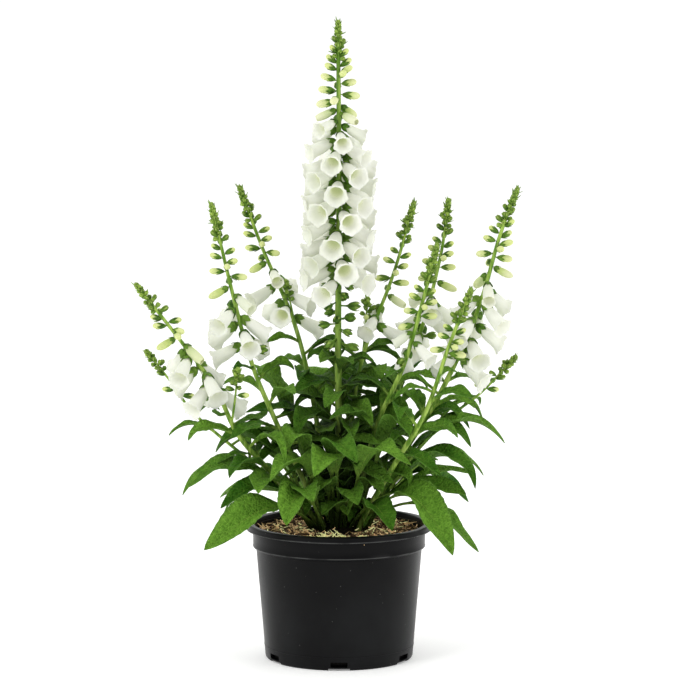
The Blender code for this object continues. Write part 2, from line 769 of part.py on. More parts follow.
def make_crown(plan):
    """The crown on the mix, with its basal leaves and a plain hole for each stem."""
    low = MIX_TOP + 0.4
    profile = [(CROWN_RADIUS * 0.6, low + CROWN_HEIGHT), (CROWN_RADIUS, low + CROWN_HEIGHT * 0.4),
               (CROWN_RADIUS - 1, low)]
    leaves = [solid(*leaf.shape(LEAF_STATIONS, 0)) for leaf in plan.leaves["crown"]]
    crown = joined([turned(profile, CROWN_SIDES)] + leaves)
    return joined([crown] + stem_holes(plan), "DIFFERENCE")


def husk_mesh():
    return turned([(HUSK_RADIUS, HUSK_LENGTH), (0, 0)], 4)


def bloom_mesh(openness):
    """A stalk that widens through the calyx into a hollow bell, whose lower lobe is the longest."""
    mouth = between(0.5, 1, openness) * BELL_MOUTH
    end = CALYX_END + BELL_LENGTH
    profile = [(0, end - 15), (mouth, end), (BELL_THROAT, BELL_THROAT_END), (0, 0)]

    def lengthen(bm):
        for vert in bm.verts:
            if vert.co.z > (end - 1) * MM:
                vert.co.z += LOWER_LOBE * openness * vert.co.x / mouth

    return edited(turned(profile, BELL_SIDES), lengthen)


def bud_mesh():
    """A spindle bud of unit length and unit radius."""
    bm = bmesh.new()
    bmesh.ops.create_cone(bm, cap_ends=True, segments=4, radius1=1, radius2=0, depth=0.4)
    for vert in bm.verts:
        vert.co.z = 1 if vert.co.z > 0 else BUD_BULGE
    floor = [face for face in bm.faces if len(face.verts) == 4]
    root = bmesh.ops.poke(bm, faces=floor)["verts"][0]
    root.co.z = 0
    mesh = bpy.data.meshes.new("bud")
    bm.to_mesh(mesh)
    bm.free()
    return mesh


def place_buds(bud, buds):
    return [moved(bud, frame @ Matrix.Diagonal((radius * MM, radius * MM, length * MM, 1)))
            for frame, length, radius in buds]


def pointed_tip(bud, stem, cone):
    radius = cone * TIP_SLIMNESS
    size = Matrix.Diagonal((radius * MM, radius * MM, cone * TIP_REACH * MM, 1))
    return moved(bud, tip_frame(stem, cone) @ size)


def spike_pieces(plan, name, low):
    """The meshes of a flower spike, its axis first, down to a distance from the tip."""
    stem = plan.stems[name]
    bud = bud_mesh()
    meshes = [tube(stem, evenly(low, 3, 30), 1 if name == "main" else 0)]
    meshes.append(pointed_tip(bud, stem, STEMS[name]["cone"]))
    templates = {share: bloom_mesh(share) for share in (0.25, 0.5, 0.75, 1.0)}
    for frame, openness in plan.blooms[name]:
        meshes.append(moved(templates[max(0.25, round(openness * 4) / 4)], frame))
    husk = husk_mesh()
    meshes += [moved(husk, frame) for frame in plan.husks[name]]
    return meshes + place_buds(bud, plan.buds[name])


def make_leafy_stem(plan, name, top):
    """A leafy stem from its foot up to a distance from the tip, with any side shoot, as one body."""
    stem = plan.stems[name]
    meshes = [tube(stem, [stem.length] + evenly(stem.length - STRAIGHT_FOOT, top, 30), 1)]
    if name in SHOOTS:
        shoot = plan.shoots[name]
        bud = bud_mesh()
        meshes.append(tube(shoot, evenly(shoot.length, 2, 20), 0))
        meshes.append(pointed_tip(bud, shoot, SHOOT_TIP))
        meshes += place_buds(bud, plan.shoot_buds[name])
    meshes += [solid(*leaf.shape(SMALL_LEAF_STATIONS, 0)) for leaf in plan.leaves[name]]
    if STEMS[name]["bell_count"] == 0:
        meshes += spike_pieces(plan, name, spike_end(name))
    return joined(meshes)


clear_scene()
bench = bpy.data.collections.new("workbench")
bpy.context.scene.collection.children.link(bench)
foxglove = bpy.data.collections.new("potted_foxglove")
bpy.context.scene.collection.children.link(foxglove)

black_plastic = finish("black_plastic", (0.012, 0.012, 0.013), 0.42)
bark_mix = finish("bark_mix", (0.10, 0.055, 0.03), 0.95)
leaf_green = finish("leaf_green", (0.06, 0.19, 0.025), 0.5)
stem_green = finish("stem_green", (0.13, 0.27, 0.04), 0.5)
petal_white = finish("petal_white", (0.86, 0.88, 0.78), 0.55)

plant = Plan()
add_node("pot", make_pot(), black_plastic)
add_node("potting_mix", make_mix(plant), bark_mix)
add_node("crown_leaves", make_crown(plant), leaf_green)
for stem_name, stem_facts in STEMS.items():
    cut = spike_end(stem_name)
    if stem_facts["bell_count"] > 0:
        add_node(stem_name + "_stem", make_leafy_stem(plant, stem_name, cut + GAP / 2), stem_green)
        add_node(stem_name + "_spike", joined(spike_pieces(plant, stem_name, cut - GAP / 2)), petal_white)
    else:
        add_node(stem_name + "_stem", make_leafy_stem(plant, stem_name, cut - 3), stem_green)
bpy.data.collections.remove(bench)
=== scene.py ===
"""Looks of the potted white foxglove: finer leaves, bells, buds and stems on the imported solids.

The plan of the plant is worked out as in the part's source, in millimetres, so that every finer piece
stands where its solid does. Meshes are in metres."""

import contextlib
import itertools
import json
import math
import random

import bmesh
import bpy
from mathutils import Matrix, Vector, noise
from mathutils.bvhtree import BVHTree

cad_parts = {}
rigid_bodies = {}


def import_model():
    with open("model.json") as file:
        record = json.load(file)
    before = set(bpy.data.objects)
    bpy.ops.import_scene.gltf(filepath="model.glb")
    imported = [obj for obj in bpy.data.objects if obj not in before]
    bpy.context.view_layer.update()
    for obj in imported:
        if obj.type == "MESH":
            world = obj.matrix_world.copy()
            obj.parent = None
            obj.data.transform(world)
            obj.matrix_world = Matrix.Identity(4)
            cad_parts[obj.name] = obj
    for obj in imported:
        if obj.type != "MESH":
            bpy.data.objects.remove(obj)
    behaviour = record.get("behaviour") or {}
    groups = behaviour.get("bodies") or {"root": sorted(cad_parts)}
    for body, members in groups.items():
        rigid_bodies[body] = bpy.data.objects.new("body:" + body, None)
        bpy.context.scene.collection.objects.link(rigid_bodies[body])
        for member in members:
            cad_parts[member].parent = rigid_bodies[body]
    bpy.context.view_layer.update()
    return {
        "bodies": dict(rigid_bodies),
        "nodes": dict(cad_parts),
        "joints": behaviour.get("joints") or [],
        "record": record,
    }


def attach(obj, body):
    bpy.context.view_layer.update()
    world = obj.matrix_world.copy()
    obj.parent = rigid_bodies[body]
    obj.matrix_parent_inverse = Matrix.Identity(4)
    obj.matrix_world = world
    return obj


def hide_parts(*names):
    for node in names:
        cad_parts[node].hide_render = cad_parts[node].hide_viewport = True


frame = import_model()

MM = 0.001

# The pot, from its rim down
POT_HEIGHT = 142
LIP_RADIUS = 96.8
LIP_HEIGHT = 6.5
LIP_FOOT = POT_HEIGHT - LIP_HEIGHT
COLLAR_RADIUS = 90.4
COLLAR_HEIGHT = 18
COLLAR_FOOT = LIP_FOOT - COLLAR_HEIGHT
BODY_RADIUS = 86.8
BASE_RADIUS = 77.2
WALL = 1.6
FLOOR = 1.8
SLOTS = 6
SLOT_WIDTH = 17.5
SLOT_TOP = 9

# The potting mix and the crown on it
MIX_TOP = 134
CROWN_RADIUS = 34
CROWN_HEIGHT = 10

# Every piece of the plant turns on by this angle from the one below it
GOLDEN_ANGLE = 137.5

# The buds stand mostly to both sides of the front view
BUD_TURNS = (172, 8, 262, 198, 344, 86, 156, 24, 190, 330, 285, 170, 350, 100)

# A bloom along its axis, from the stem's centre line: stalk, calyx, then the bell
CALYX_END = 12
BELL_LENGTH = 29.5
BELL_MOUTH = 12.8
BELL_THROAT = 7.6
BELL_THROAT_END = 21
LOWER_LOBE = 2.6
HUSK_STEP = 4.7
HUSK_LENGTH = 14
HUSK_RADIUS = 3.0
TIP_SLIMNESS = 0.19
TIP_REACH = 1.08
SPIKE_FOOT = 10  # bare stem between a spike's last husk and the leafy part
SHOOT_TIP = 11
BUD_BULGE = 0.66  # how far along a bud it is thickest
BUD_LENGTHS = (11, 25)  # from the youngest to the oldest bud, as the next two
BUD_RADII = (2.5, 4.6)
BUD_RISES = (38, -14)
OPENING_PACE = (3.0, 8.0)  # how fast the bells open down a spike, on a side stem and on the main one

# The stems: the foot is the radius in the mix, and cone, buds and bells are how far down from the tip
# each zone ends. husks, leaves, bud_count and bell_count say how many there are: a husk is a calyx whose
# bell has dropped. droop is how far the open bells point below the level, and phase the compass angle of
# the first one. line holds the places that the centre line passes from the mix to the tip.
STEM_FACTS = ("foot", "cone", "buds", "bells", "husks", "leaves", "leaf_width", "bud_count", "bud_size",
              "bell_count", "bell_size", "droop", "phase", "line")
STEM_ROWS = {
    "main": (3.5, 30, 84, 268, 14, 30, 32, 18, 0.96, 47, 1.0, 21, 40,
         [(0, 0, 119), (0, 1, 200), (-1, 0, 330), (0, -1, 500), (-1, 0, 664)]),
    "left": (2.7, 25, 66, 138, 1, 9, 25, 11, 0.8, 10, 0.94, 45, 200,
         [(-15, -8, 119), (-24, -12, 146), (-62, -26, 190), (-103, -38, 238), (-128, -42, 290),
          (-164, -46, 340), (-208, -50, 397)]),
    "far_left": (1.9, 18, 62, 0, 0, 6, 14, 8, 0.7, 0, 1.0, 0, 0,
         [(-25, 8, 119), (-32, 9, 143), (-83, 14, 195), (-149, 19, 251), (-177, 22, 288),
          (-203, 25, 320)]),
    "inner_left": (2.6, 28, 84, 152, 1, 11, 27, 14, 0.82, 9, 0.94, 33, 180,
         [(-14, -17, 119), (-18, -18, 146), (-66, -20, 252), (-90, -16, 310), (-108, -13, 375),
          (-132, -12, 477)]),
    "back_left": (2.6, 28, 80, 150, 1, 11, 27, 14, 0.8, 8, 0.9, 24, 150,
         [(-10, 15, 119), (-12, 16, 146), (-25, 20, 255), (-46, 30, 345), (-80, 42, 425),
          (-105, 46, 491)]),
    "back": (2.4, 31, 96, 140, 1, 11, 27, 14, 0.8, 4, 0.84, 31, 330,
         [(8, 17, 119), (9, 18, 146), (14, 22, 250), (26, 28, 317), (57, 38, 399), (79, 45, 475)]),
    "back_right": (2.5, 27, 84, 146, 1, 11, 27, 15, 0.84, 8, 0.92, 35, 0,
         [(17, 13, 119), (19, 15, 146), (52, 36, 250), (84, 52, 330), (107, 66, 414), (116, 72, 476)]),
    "inner_right": (2.7, 32, 88, 118, 1, 11, 25, 15, 0.84, 3, 0.8, 40, 190,
         [(13, -13, 119), (15, -14, 146), (38, -20, 243), (67, -28, 311), (87, -33, 381),
          (101, -35, 437)]),
    "right": (2.9, 34, 82, 190, 1, 9, 25, 14, 0.88, 14, 0.96, 42, 350,
         [(25, 1, 119), (30, 2, 146), (66, 6, 212), (105, 10, 275), (144, 13, 361), (167, 15, 440),
          (186, 17, 491)]),
    "front_right": (2.7, 28, 74, 0, 2, 11, 25, 13, 0.8, 0, 1.0, 0, 0,
         [(19, -22, 119), (23, -24, 146), (57, -38, 208), (89, -54, 266), (112, -72, 336),
          (134, -82, 395)]),
    "far_right": (1.9, 18, 50, 0, 0, 6, 14, 8, 0.68, 0, 1.0, 0, 0,
         [(26, 13, 119), (32, 14, 144), (70, 22, 200), (115, 31, 247), (150, 38, 274), (187, 42, 312)]),
}
STEMS = {name: dict(zip(STEM_FACTS, row)) for name, row in STEM_ROWS.items()}

# Short shoots that branch off a leafy stem: how far down from its tip, where the shoot ends, its buds
SHOOTS = {
    "left": (176, (-103, -58, 311), 6),
    "back_left": (196, (-56, 22, 394), 2),
    "back": (172, (30, 42, 374), 3),
}

# The large basal leaves that the front view shows: compass angle, reach, height of the tip, height
# of the arch, width, and the share of the length that is bare stalk
FRONT_LEAVES = [
    (217, 158, 123, 66, 40, 0.32), (320, 142, 119, 88, 42, 0.32), (240, 112, 154, 62, 42, 0.26),
    (297, 102, 144, 52, 32, 0.30), (259, 90, 200, 70, 36, 0.30), (233, 100, 194, 64, 34, 0.30),
    (348, 142, 111, 60, 24, 0.38), (182, 134, 214, 66, 24, 0.32), (189, 172, 178, 78, 20, 0.32),
    (198, 160, 188, 76, 27, 0.30), (207, 128, 163, 60, 24, 0.30), (3, 168, 223, 78, 21, 0.32),
    (357, 138, 226, 70, 22, 0.30), (12, 154, 184, 74, 24, 0.32), (346, 158, 190, 70, 25, 0.30),
    (275, 96, 218, 60, 32, 0.28), (303, 112, 208, 64, 34, 0.28), (263, 66, 158, 34, 26, 0.30),
    (285, 76, 172, 38, 26, 0.30), (226, 84, 232, 50, 30, 0.28), (322, 92, 240, 50, 30, 0.28),
    (250, 64, 184, 34, 24, 0.30), (310, 66, 180, 34, 24, 0.30), (205, 82, 190, 40, 24, 0.30),
    (335, 84, 192, 40, 24, 0.30),
]
BACK_LEAVES = 11
BACK_ARC = (28, 156)  # compass angles between which the unseen basal leaves stand, in these tiers
BACK_TIERS = [(150, 140, 84, 38, 0.32), (108, 292, 36, 34, 0.32), (92, 214, 44, 36, 0.30)]

# The leaves of a stem, from its highest to its lowest
BARE_TOP = 6  # between the spike and the highest leaf
BARE_FOOT = 46  # below the lowest leaf
STEM_LEAF_REACHES = (36, 94)
STEM_LEAF_RISES = (12, 22)
STEM_LEAF_ARCHES = (12, 34)

LEAF_THICKNESS = 1.5
STALK_HALF_WIDTH = 1.7
KNEE = 0.58  # how far along a leaf its arch is pulled up
FOLD = 0.22  # how steeply a blade's halves rise from its rib
LEAF_ROLL = 26  # how far at random a leaf is rolled about its rib, besides its turn towards the front view
LEAF_FACING = 34
LEAF_SWAY = 0.26
LEAF_STEPS = 24  # fine steps along a leaf, of which the solids use a few
LEAF_STATIONS = (0, 7, 13, 19, 24)
SMALL_LEAF_STATIONS = (0, 7, 16, 24)

# Where a leaf is tried until it stands clear: swings of its angle, shares of the crown's radius for its
# root, lifts of its tip and its arch, and shares of its size. A bell and a bud are only swung and sunk.
LEAF_SWINGS = (0, 6, -6, 12, -12, 19, -19, 27, -27, 36, -36, 46, -46, 58, -58)
ROOT_SPOTS = (0.7, 0.93, 0.82)
LEAF_LIFTS = ((0, 0), (0, 14), (0, -14), (0, 28), (0, -28), (8, 0), (-8, 0), (8, 20), (16, 0))
LEAF_SIZES = (1, 0.88, 0.76, 0.62)
BELL_SWINGS = (0, 7, -7, 14, -14, 22, -22, 30, -30, 40, -40)
BELL_SINKS = (0, 9, -9)
BUD_SWINGS = (0, 12, -12, 25, -25)

# How much larger than it is a stem and a leaf are taken to be when others have to stand clear of it
STEM_CLEARANCE = 0.4
SHOOT_FOOT = 1.2  # a side shoot's radius
LEAF_CLEARANCE = 0.45
TUBE_RINGS = 24
TUBE_SIDES = 6
POT_SIDES = 36


def between(low, high, share):
    return low + (high - low) * share


def held(value, low=0, high=1):
    """A value, or the nearer limit where it lies beyond one."""
    return min(max(value, low), high)


def smooth_line(places, count):
    """Evenly numbered points of a Catmull-Rom curve through the places."""
    ends = [places[0] * 2 - places[1]] + places + [places[-1] * 2 - places[-2]]
    spans = len(places) - 1
    points = []
    for i in range(count + 1):
        at = min(i * spans / count, spans - 1e-9)
        k = int(at)
        t = at - k
        a, b, c, d = ends[k:k + 4]
        points.append(0.5 * (2 * b + (c - a) * t + (2 * a - 5 * b + 4 * c - d) * t**2
                             + (3 * b - a - 3 * c + d) * t**3))
    return points


class Stem:
    """A stem's centre line, read by the distance down from its tip."""

    def __init__(self, places, foot):
        self.points = smooth_line([Vector(p) for p in places], 96)[::-1]
        self.foot = foot
        self.marks = [0.0]
        for a, b in zip(self.points, self.points[1:]):
            self.marks.append(self.marks[-1] + (b - a).length)
        self.length = self.marks[-1]

    def place(self, down):
        """The point and the upward direction at a distance from the tip."""
        down = held(down, 0, self.length)
        k = 1
        while self.marks[k] < down and k < len(self.marks) - 1:
            k += 1
        t = (down - self.marks[k - 1]) / (self.marks[k] - self.marks[k - 1])
        return self.points[k - 1].lerp(self.points[k], t), (self.points[k - 1] - self.points[k]).normalized()

    def radius(self, down):
        return self.foot * between(0.5, 1, min(down / (0.75 * self.length), 1) ** 0.8)


def spike_end(name):
    """How far down from the tip the flower spike ends and the leafy stem begins."""
    facts = STEMS[name]
    return max(facts["bells"], facts["buds"]) + HUSK_STEP * facts["husks"] + SPIKE_FOOT


def ring_faces(rings, sides):
    """Quads between rings of points that follow one another."""
    faces = []
    for k in range(rings - 1):
        for i in range(sides):
            a = k * sides + i
            b = k * sides + (i + 1) % sides
            faces.append((a, b, b + sides, a + sides))
    return faces


def outline_shape(profile, sides, frame):
    """Points and faces of a closed turned shape, from (radius, height) pairs."""
    points = []
    for r, z in profile:
        for i in range(sides):
            turn = 2 * math.pi * i / sides
            points.append(frame @ Vector((r * math.cos(turn), r * math.sin(turn), z)))
    count = len(points)
    ends = [tuple(range(sides))[::-1], tuple(range(count - sides, count))]
    return points, ring_faces(len(profile), sides) + ends


def tube_shape(stem, low, high):
    """Points and faces of a stem's tube between two distances from its tip, a little larger than it is."""
    points = []
    for k in range(TUBE_RINGS + 1):
        down = between(low, high, k / TUBE_RINGS)
        centre, up = stem.place(down)
        side = up.orthogonal().normalized()
        for i in range(TUBE_SIDES):
            spoke = Matrix.Rotation(math.radians(360 / TUBE_SIDES * i), 3, up) @ side
            points.append(centre + spoke * (stem.radius(down) + STEM_CLEARANCE))
    return points, ring_faces(TUBE_RINGS + 1, TUBE_SIDES)


def tip_shape(stem, cone):
    """Points and faces of the pointed bunch of young buds at a stem's tip."""
    profile = [(0.5, 0), (cone * TIP_SLIMNESS + 0.4, cone * 0.6), (0.5, cone * TIP_REACH + 0.5)]
    return outline_shape(profile, TUBE_SIDES, hanging_frame(*stem.place(cone)))


def heading(azimuth, rise):
    """The direction at a compass angle and an angle above the horizontal, in degrees."""
    a = math.radians(azimuth)
    e = math.radians(rise)
    return Vector((math.cos(a) * math.cos(e), math.sin(a) * math.cos(e), math.sin(e)))


def hanging_frame(root, direction):
    """A placement with +Z along a direction and +X as far down as that allows."""
    down = Vector((0, 0, -1))
    x = down - direction * down.dot(direction)
    if x.length < 0.01:
        x = Vector((1, 0, 0))
    x.normalize()
    y = direction.cross(x)
    frame = Matrix((x, y, direction)).transposed().to_4x4()
    frame.translation = root
    return frame


class Room:
    """What already stands where, by node, so that a new piece can be bent clear of the others."""

    def __init__(self):
        self.trees = []

    def add(self, owner, shape):
        self.trees.append((owner, BVHTree.FromPolygons(*shape)))

    def free(self, owner, shape):
        tree = BVHTree.FromPolygons(*shape)
        return not any(other != owner and tree.overlap(there) for other, there in self.trees)


class Leaf:
    """A leaf on an arched centre line from its root to its tip."""

    def __init__(self, root, tip, arch, width, stalk, roll, sway, wave, turn):
        out = tip - root
        self.root = root
        self.tip = tip
        self.knee = root.lerp(tip, KNEE) + Vector((out.y, -out.x, 0)) * sway
        self.knee.z = max(root.z, tip.z) + arch
        self.width = width
        self.stalk = stalk
        self.roll = roll
        self.wave = wave
        self.turn = turn

    def frame(self, t):
        """The centre, side and up vectors at a share of the length."""
        a = self.root.lerp(self.knee, t)
        b = self.knee.lerp(self.tip, t)
        tangent = (b - a).normalized()
        out = tangent + (self.tip - self.root).normalized() * 0.4
        up = Vector((out.y, -out.x, 0)).cross(tangent).normalized()
        tilt = Matrix.Rotation(math.radians(self.roll) * t, 3, tangent)
        return a.lerp(b, t), tilt @ tangent.cross(up), tilt @ up

    def half_width(self, t):
        """Narrow along the stalk, then a lance, widest before its middle."""
        if t <= self.stalk:
            return STALK_HALF_WIDTH
        u = (t - self.stalk) / (1 - self.stalk)
        return STALK_HALF_WIDTH * (1 - u) + self.width / 2 * math.sin(math.pi * u**0.95)

    def lift(self, t, across):
        """How far the blade stands off its centre line's plane, from -1 to 1 across."""
        if t <= self.stalk:
            return 0.0
        u = (t - self.stalk) / (1 - self.stalk)
        fold = FOLD * abs(across) * self.half_width(t)
        ripple = self.wave * math.sin(9 * u + self.turn + 1.5 * across) * across * math.sin(math.pi * u)
        return fold + ripple

    def shape(self, stations, grow):
        """Points and triangles of the blade, thick along its rib and sharp at its edges, grown all round."""
        points = []
        faces = []
        for k in stations[:-1]:
            t = k / LEAF_STEPS
            centre, side, up = self.frame(t)
            half = self.half_width(t) + grow
            thick = LEAF_THICKNESS / 2 + grow
            points.append(centre - side * half + up * self.lift(t, -1))
            points.append(centre + up * thick)
            points.append(centre + side * half + up * self.lift(t, 1))
            points.append(centre - up * thick)
        for k in range(len(stations) - 2):
            a = 4 * k
            b = a + 4
            faces += [(a, a + 1, b + 1), (a, b + 1, b), (a + 2, b + 1, a + 1), (a + 2, b + 2, b + 1)]
            faces += [(a + 2, a + 3, b + 3), (a + 2, b + 3, b + 2), (a, b + 3, a + 3), (a, b, b + 3)]
        end = len(points)
        points.append(self.tip.copy())
        last = end - 4
        faces += [(last + i, last + (i + 1) % 4, end) for i in range(4)]
        faces += [(0, 2, 1), (0, 3, 2)]
        return points, faces


class Plan:
    """Where every part of the plant stands. Each new piece is turned until it is clear of other nodes."""

    def __init__(self):
        self.room = Room()
        self.stems = {}
        self.shoots = {}
        self.blooms = {name: [] for name in STEMS}  # (frame, openness)
        self.husks = {name: [] for name in STEMS}  # frames
        self.buds = {name: [] for name in STEMS}  # (frame, length, radius)
        self.shoot_buds = {name: [] for name in STEMS}
        self.leaves = {name: [] for name in STEMS}
        self.leaves["crown"] = []
        self.stand_pot()
        for name, facts in STEMS.items():
            stem = Stem(facts["line"], facts["foot"])
            end = spike_end(name)
            self.stems[name] = stem
            self.room.add(name + " spike", tube_shape(stem, 0, end))
            self.room.add(name + " spike", tip_shape(stem, facts["cone"]))
            self.room.add(name, tube_shape(stem, end, stem.length))
        for name, (down, tip, count) in SHOOTS.items():
            start, up = self.stems[name].place(down)
            knee = start.lerp(Vector(tip), 0.45) + Vector((0, 0, -4))
            shoot = Stem([start, knee, Vector(tip)], SHOOT_FOOT)
            self.shoots[name] = shoot
            self.room.add(name, tube_shape(shoot, 0, shoot.length))
            self.room.add(name, tip_shape(self.shoots[name], SHOOT_TIP))
        for name in STEMS:
            self.hang_bells(name)
        for name in STEMS:
            self.set_husks(name)
            facts = STEMS[name]
            self.set_buds(name + " spike", self.buds[name], self.stems[name], facts["cone"] * 0.75,
                          facts["buds"], facts["bud_count"], facts["bud_size"])
        for name, (down, end, count) in SHOOTS.items():
            self.set_buds(name, self.shoot_buds[name], self.shoots[name], 6, 8 + 5 * count, count, 0.7)
        self.set_basal_leaves()
        for name in STEMS:
            self.set_stem_leaves(name)

    def stand_pot(self):
        """The upper part of the pot's wall and of the mix, a little larger than they are."""
        rim = POT_HEIGHT + 1.5
        inner = COLLAR_RADIUS - 3
        outer = LIP_RADIUS + 1.5
        low = 60
        wall = [(outer, low), (outer, rim), (inner, rim), (inner, low)]
        self.room.add("pot", outline_shape(wall, POT_SIDES, Matrix()))
        top = MIX_TOP + 2.8
        core = CROWN_RADIUS - 2
        under = 100
        filling = [(inner, under), (inner, top), (core, top), (core, under)]
        self.room.add("mix", outline_shape(filling, POT_SIDES, Matrix()))

    def hang_bells(self, name):
        facts = STEMS[name]
        stem = self.stems[name]
        for i in range(facts["bell_count"]):
            draw = random.Random(f"{name} bell {i}")
            share = (i + 0.5) / facts["bell_count"]  # the youngest bells, at the top, are small and half shut
            root, up = stem.place(between(facts["buds"], facts["bells"], share))
            size = facts["bell_size"] * min(0.62 + 1.2 * share, 1) * draw.uniform(0.96, 1.04)
            openness = min(0.35 + OPENING_PACE[name == "main"] * share, 1)
            azimuth = GOLDEN_ANGLE * i + draw.uniform(-7, 7) + facts["phase"]
            droop = between(25, facts["droop"], min(share * 3, 1)) + draw.uniform(-5, 5)
            self.try_bell(name, root, azimuth, droop, size, openness)

    def try_bell(self, name, root, azimuth, droop, size, openness):
        mouth = between(0.5, 1, openness) * BELL_MOUTH
        profile = [(1.6, 3), (BELL_THROAT + 1.2, BELL_THROAT_END),
                   (mouth * 1.1, CALYX_END + BELL_LENGTH + LOWER_LOBE)]
        for swing in BELL_SWINGS:
            for sink in BELL_SINKS:
                frame = hanging_frame(root, heading(azimuth + swing, -droop - sink)) @ Matrix.Scale(size, 4)
                bloom = outline_shape(profile, 6, frame)
                if self.room.free(name + " spike", bloom):
                    self.room.add(name + " spike", bloom)
                    self.blooms[name].append((frame, openness))
                    return

    def set_husks(self, name):
        facts = STEMS[name]
        for i in range(facts["husks"]):
            draw = random.Random(f"{name} husk {i}")
            root, up = self.stems[name].place(max(facts["bells"], facts["buds"]) + HUSK_STEP * (i + 0.6))
            azimuth = GOLDEN_ANGLE * (i + facts["bell_count"]) + facts["phase"]
            frame = hanging_frame(root, heading(azimuth, draw.uniform(-25, 5)))
            frame = frame @ Matrix.Scale(draw.uniform(1.25, 1.6), 4)
            profile = [(1.2, 4), (HUSK_RADIUS + 0.6, HUSK_LENGTH), (HUSK_RADIUS, HUSK_LENGTH + 0.6)]
            husk = outline_shape(profile, 6, frame)
            if self.room.free(name + " spike", husk):
                self.room.add(name + " spike", husk)
                self.husks[name].append(frame)

    def set_buds(self, owner, buds, stem, first, last, count, size):
        for i in range(count):
            draw = random.Random(f"{owner} bud {i}")
            share = (i + 0.5) / count
            root, up = stem.place(between(first, last, share))
            length = size * between(*BUD_LENGTHS, share) * draw.uniform(0.94, 1.06)
            radius = size * between(*BUD_RADII, share)
            azimuth = BUD_TURNS[i % len(BUD_TURNS)] + draw.uniform(-10, 10)
            for swing in BUD_SWINGS:
                out = heading(azimuth + swing, between(*BUD_RISES, share) + draw.uniform(-4, 4))
                frame = hanging_frame(root, (out + up * between(0.5, 0, share)).normalized())
                profile = [(0.8, 1.5), (radius * 1.12 + 0.3, length * BUD_BULGE), (0.8, length + 0.5)]
                bud = outline_shape(profile, 6, frame)
                if self.room.free(owner, bud):
                    self.room.add(owner, bud)
                    buds.append((frame, length, radius))
                    break

    def try_leaf(self, owner, roots_at, azimuth, reach, rise, arch, width, stalk, draw, stations):
        """Adds a leaf whose tip lies out by reach and up by rise, where it stands clear."""
        roll = draw.uniform(-LEAF_ROLL, LEAF_ROLL) + LEAF_FACING * math.cos(math.radians(azimuth))
        sway = draw.uniform(-LEAF_SWAY, LEAF_SWAY)
        wave = width * draw.uniform(0.04, 0.09)
        turn = draw.uniform(0, 6.28)
        for size in LEAF_SIZES:
            for swing in LEAF_SWINGS:
                for root, (lift, more) in itertools.product(roots_at(azimuth + swing), LEAF_LIFTS):
                    tip = root + heading(azimuth + swing, 0) * reach * size
                    tip.z = root.z + (rise + lift) * size
                    leaf = Leaf(root, tip, (arch + more) * size, width * size, stalk, roll, sway, wave, turn)
                    if self.room.free(owner, leaf.shape(stations, LEAF_CLEARANCE)):
                        self.room.add(owner, leaf.shape(stations, 0))
                        self.leaves[owner].append(leaf)
                        return

    def set_basal_leaves(self):
        rows = list(FRONT_LEAVES)
        for i in range(BACK_LEAVES):
            angle = between(BACK_ARC[0], BACK_ARC[1], (i + 0.5) / BACK_LEAVES)
            rows.append((angle, *BACK_TIERS[i % len(BACK_TIERS)]))
        for i, (azimuth, reach, height, arch, width, stalk) in enumerate(rows):
            draw = random.Random(f"basal {i}")
            low = MIX_TOP + CROWN_HEIGHT * 0.35

            def roots_at(angle):
                return [heading(angle, 0) * CROWN_RADIUS * out + Vector((0, 0, low)) for out in ROOT_SPOTS]

            self.try_leaf("crown", roots_at, azimuth, reach - CROWN_RADIUS * 0.8, height - low, arch, width,
                          stalk, draw, LEAF_STATIONS)

    def set_stem_leaves(self, name):
        facts = STEMS[name]
        stem = self.stems[name]
        lowest = stem.length - BARE_FOOT
        highest = spike_end(name) + BARE_TOP
        for i in range(facts["leaves"]):
            draw = random.Random(f"{name} leaf {i}")
            share = (i + 0.5) / facts["leaves"]
            root, up = stem.place(between(highest, lowest, share**1.1))
            reach = between(*STEM_LEAF_REACHES, share) * draw.uniform(0.88, 1.12)
            width = facts["leaf_width"] * between(0.4, 1, share) * draw.uniform(0.88, 1.12)
            rise = between(*STEM_LEAF_RISES, share) * draw.uniform(-0.4, 1.3)
            arch = between(*STEM_LEAF_ARCHES, share)
            azimuth = GOLDEN_ANGLE * i + facts["phase"] + 60
            self.try_leaf(name, lambda angle: [root], azimuth, reach, rise, arch, width, 0.12, draw,
                          SMALL_LEAF_STATIONS)


# How fine the patterns are
LEAF_STRIPS = 8
FINE_LEAF_STEPS = 42
FINE_SMALL_LEAF_STEPS = 30
BELL_POINTS = 40
STALK_POINTS = 12
STALK_RINGS = 60
POT_POINTS = 144
MIX_POINTS = 128
MIX_RINGS = 38
FINE_BUD = (0.26, 0.32, 0.4, 0.5, 0.62, 0.74, 0.84, 0.91, 0.96, 0.99, 1.0)  # heights of its rings
COARSE_BUD = (0.26, 0.45, 0.68, 0.88, 0.97, 1.0)

# Leaves
BLADE_THICKNESS = 0.55
RIB_HEIGHT = 1.2
RIB_WIDTH = 0.13  # as a share of half the blade's width
TOOTH = 0.035
NOTCH = 0.07  # the larger waves of the outline, between which the teeth stand
VEIN_PAIRS = 7
VEIN_SLANT = 3.2
PUCKER = 0.9
CHANNEL = 1.1  # how high the edges of the bare stalk are turned up
ROUND_TIP = 0.3  # how full the outline is beyond its middle
TIP_HALF_WIDTH = 0.35
EDGE_WAVE = 0.16  # how far the edges wave, as a share of half the width
TIP_CURL = 0.36  # how far a tip curls off its line, as a share of the width
GATHER = 0.42  # how far a blade folds up along its rib

# Painted shade: what lies within this radius and this height above the mix is painted darker, and a share of
# that all the way up
SHADED_RADIUS = 95
SHADED_HEIGHT = 150
SHADE_STRENGTH = 1.22
SHADE_ALL = 0.5

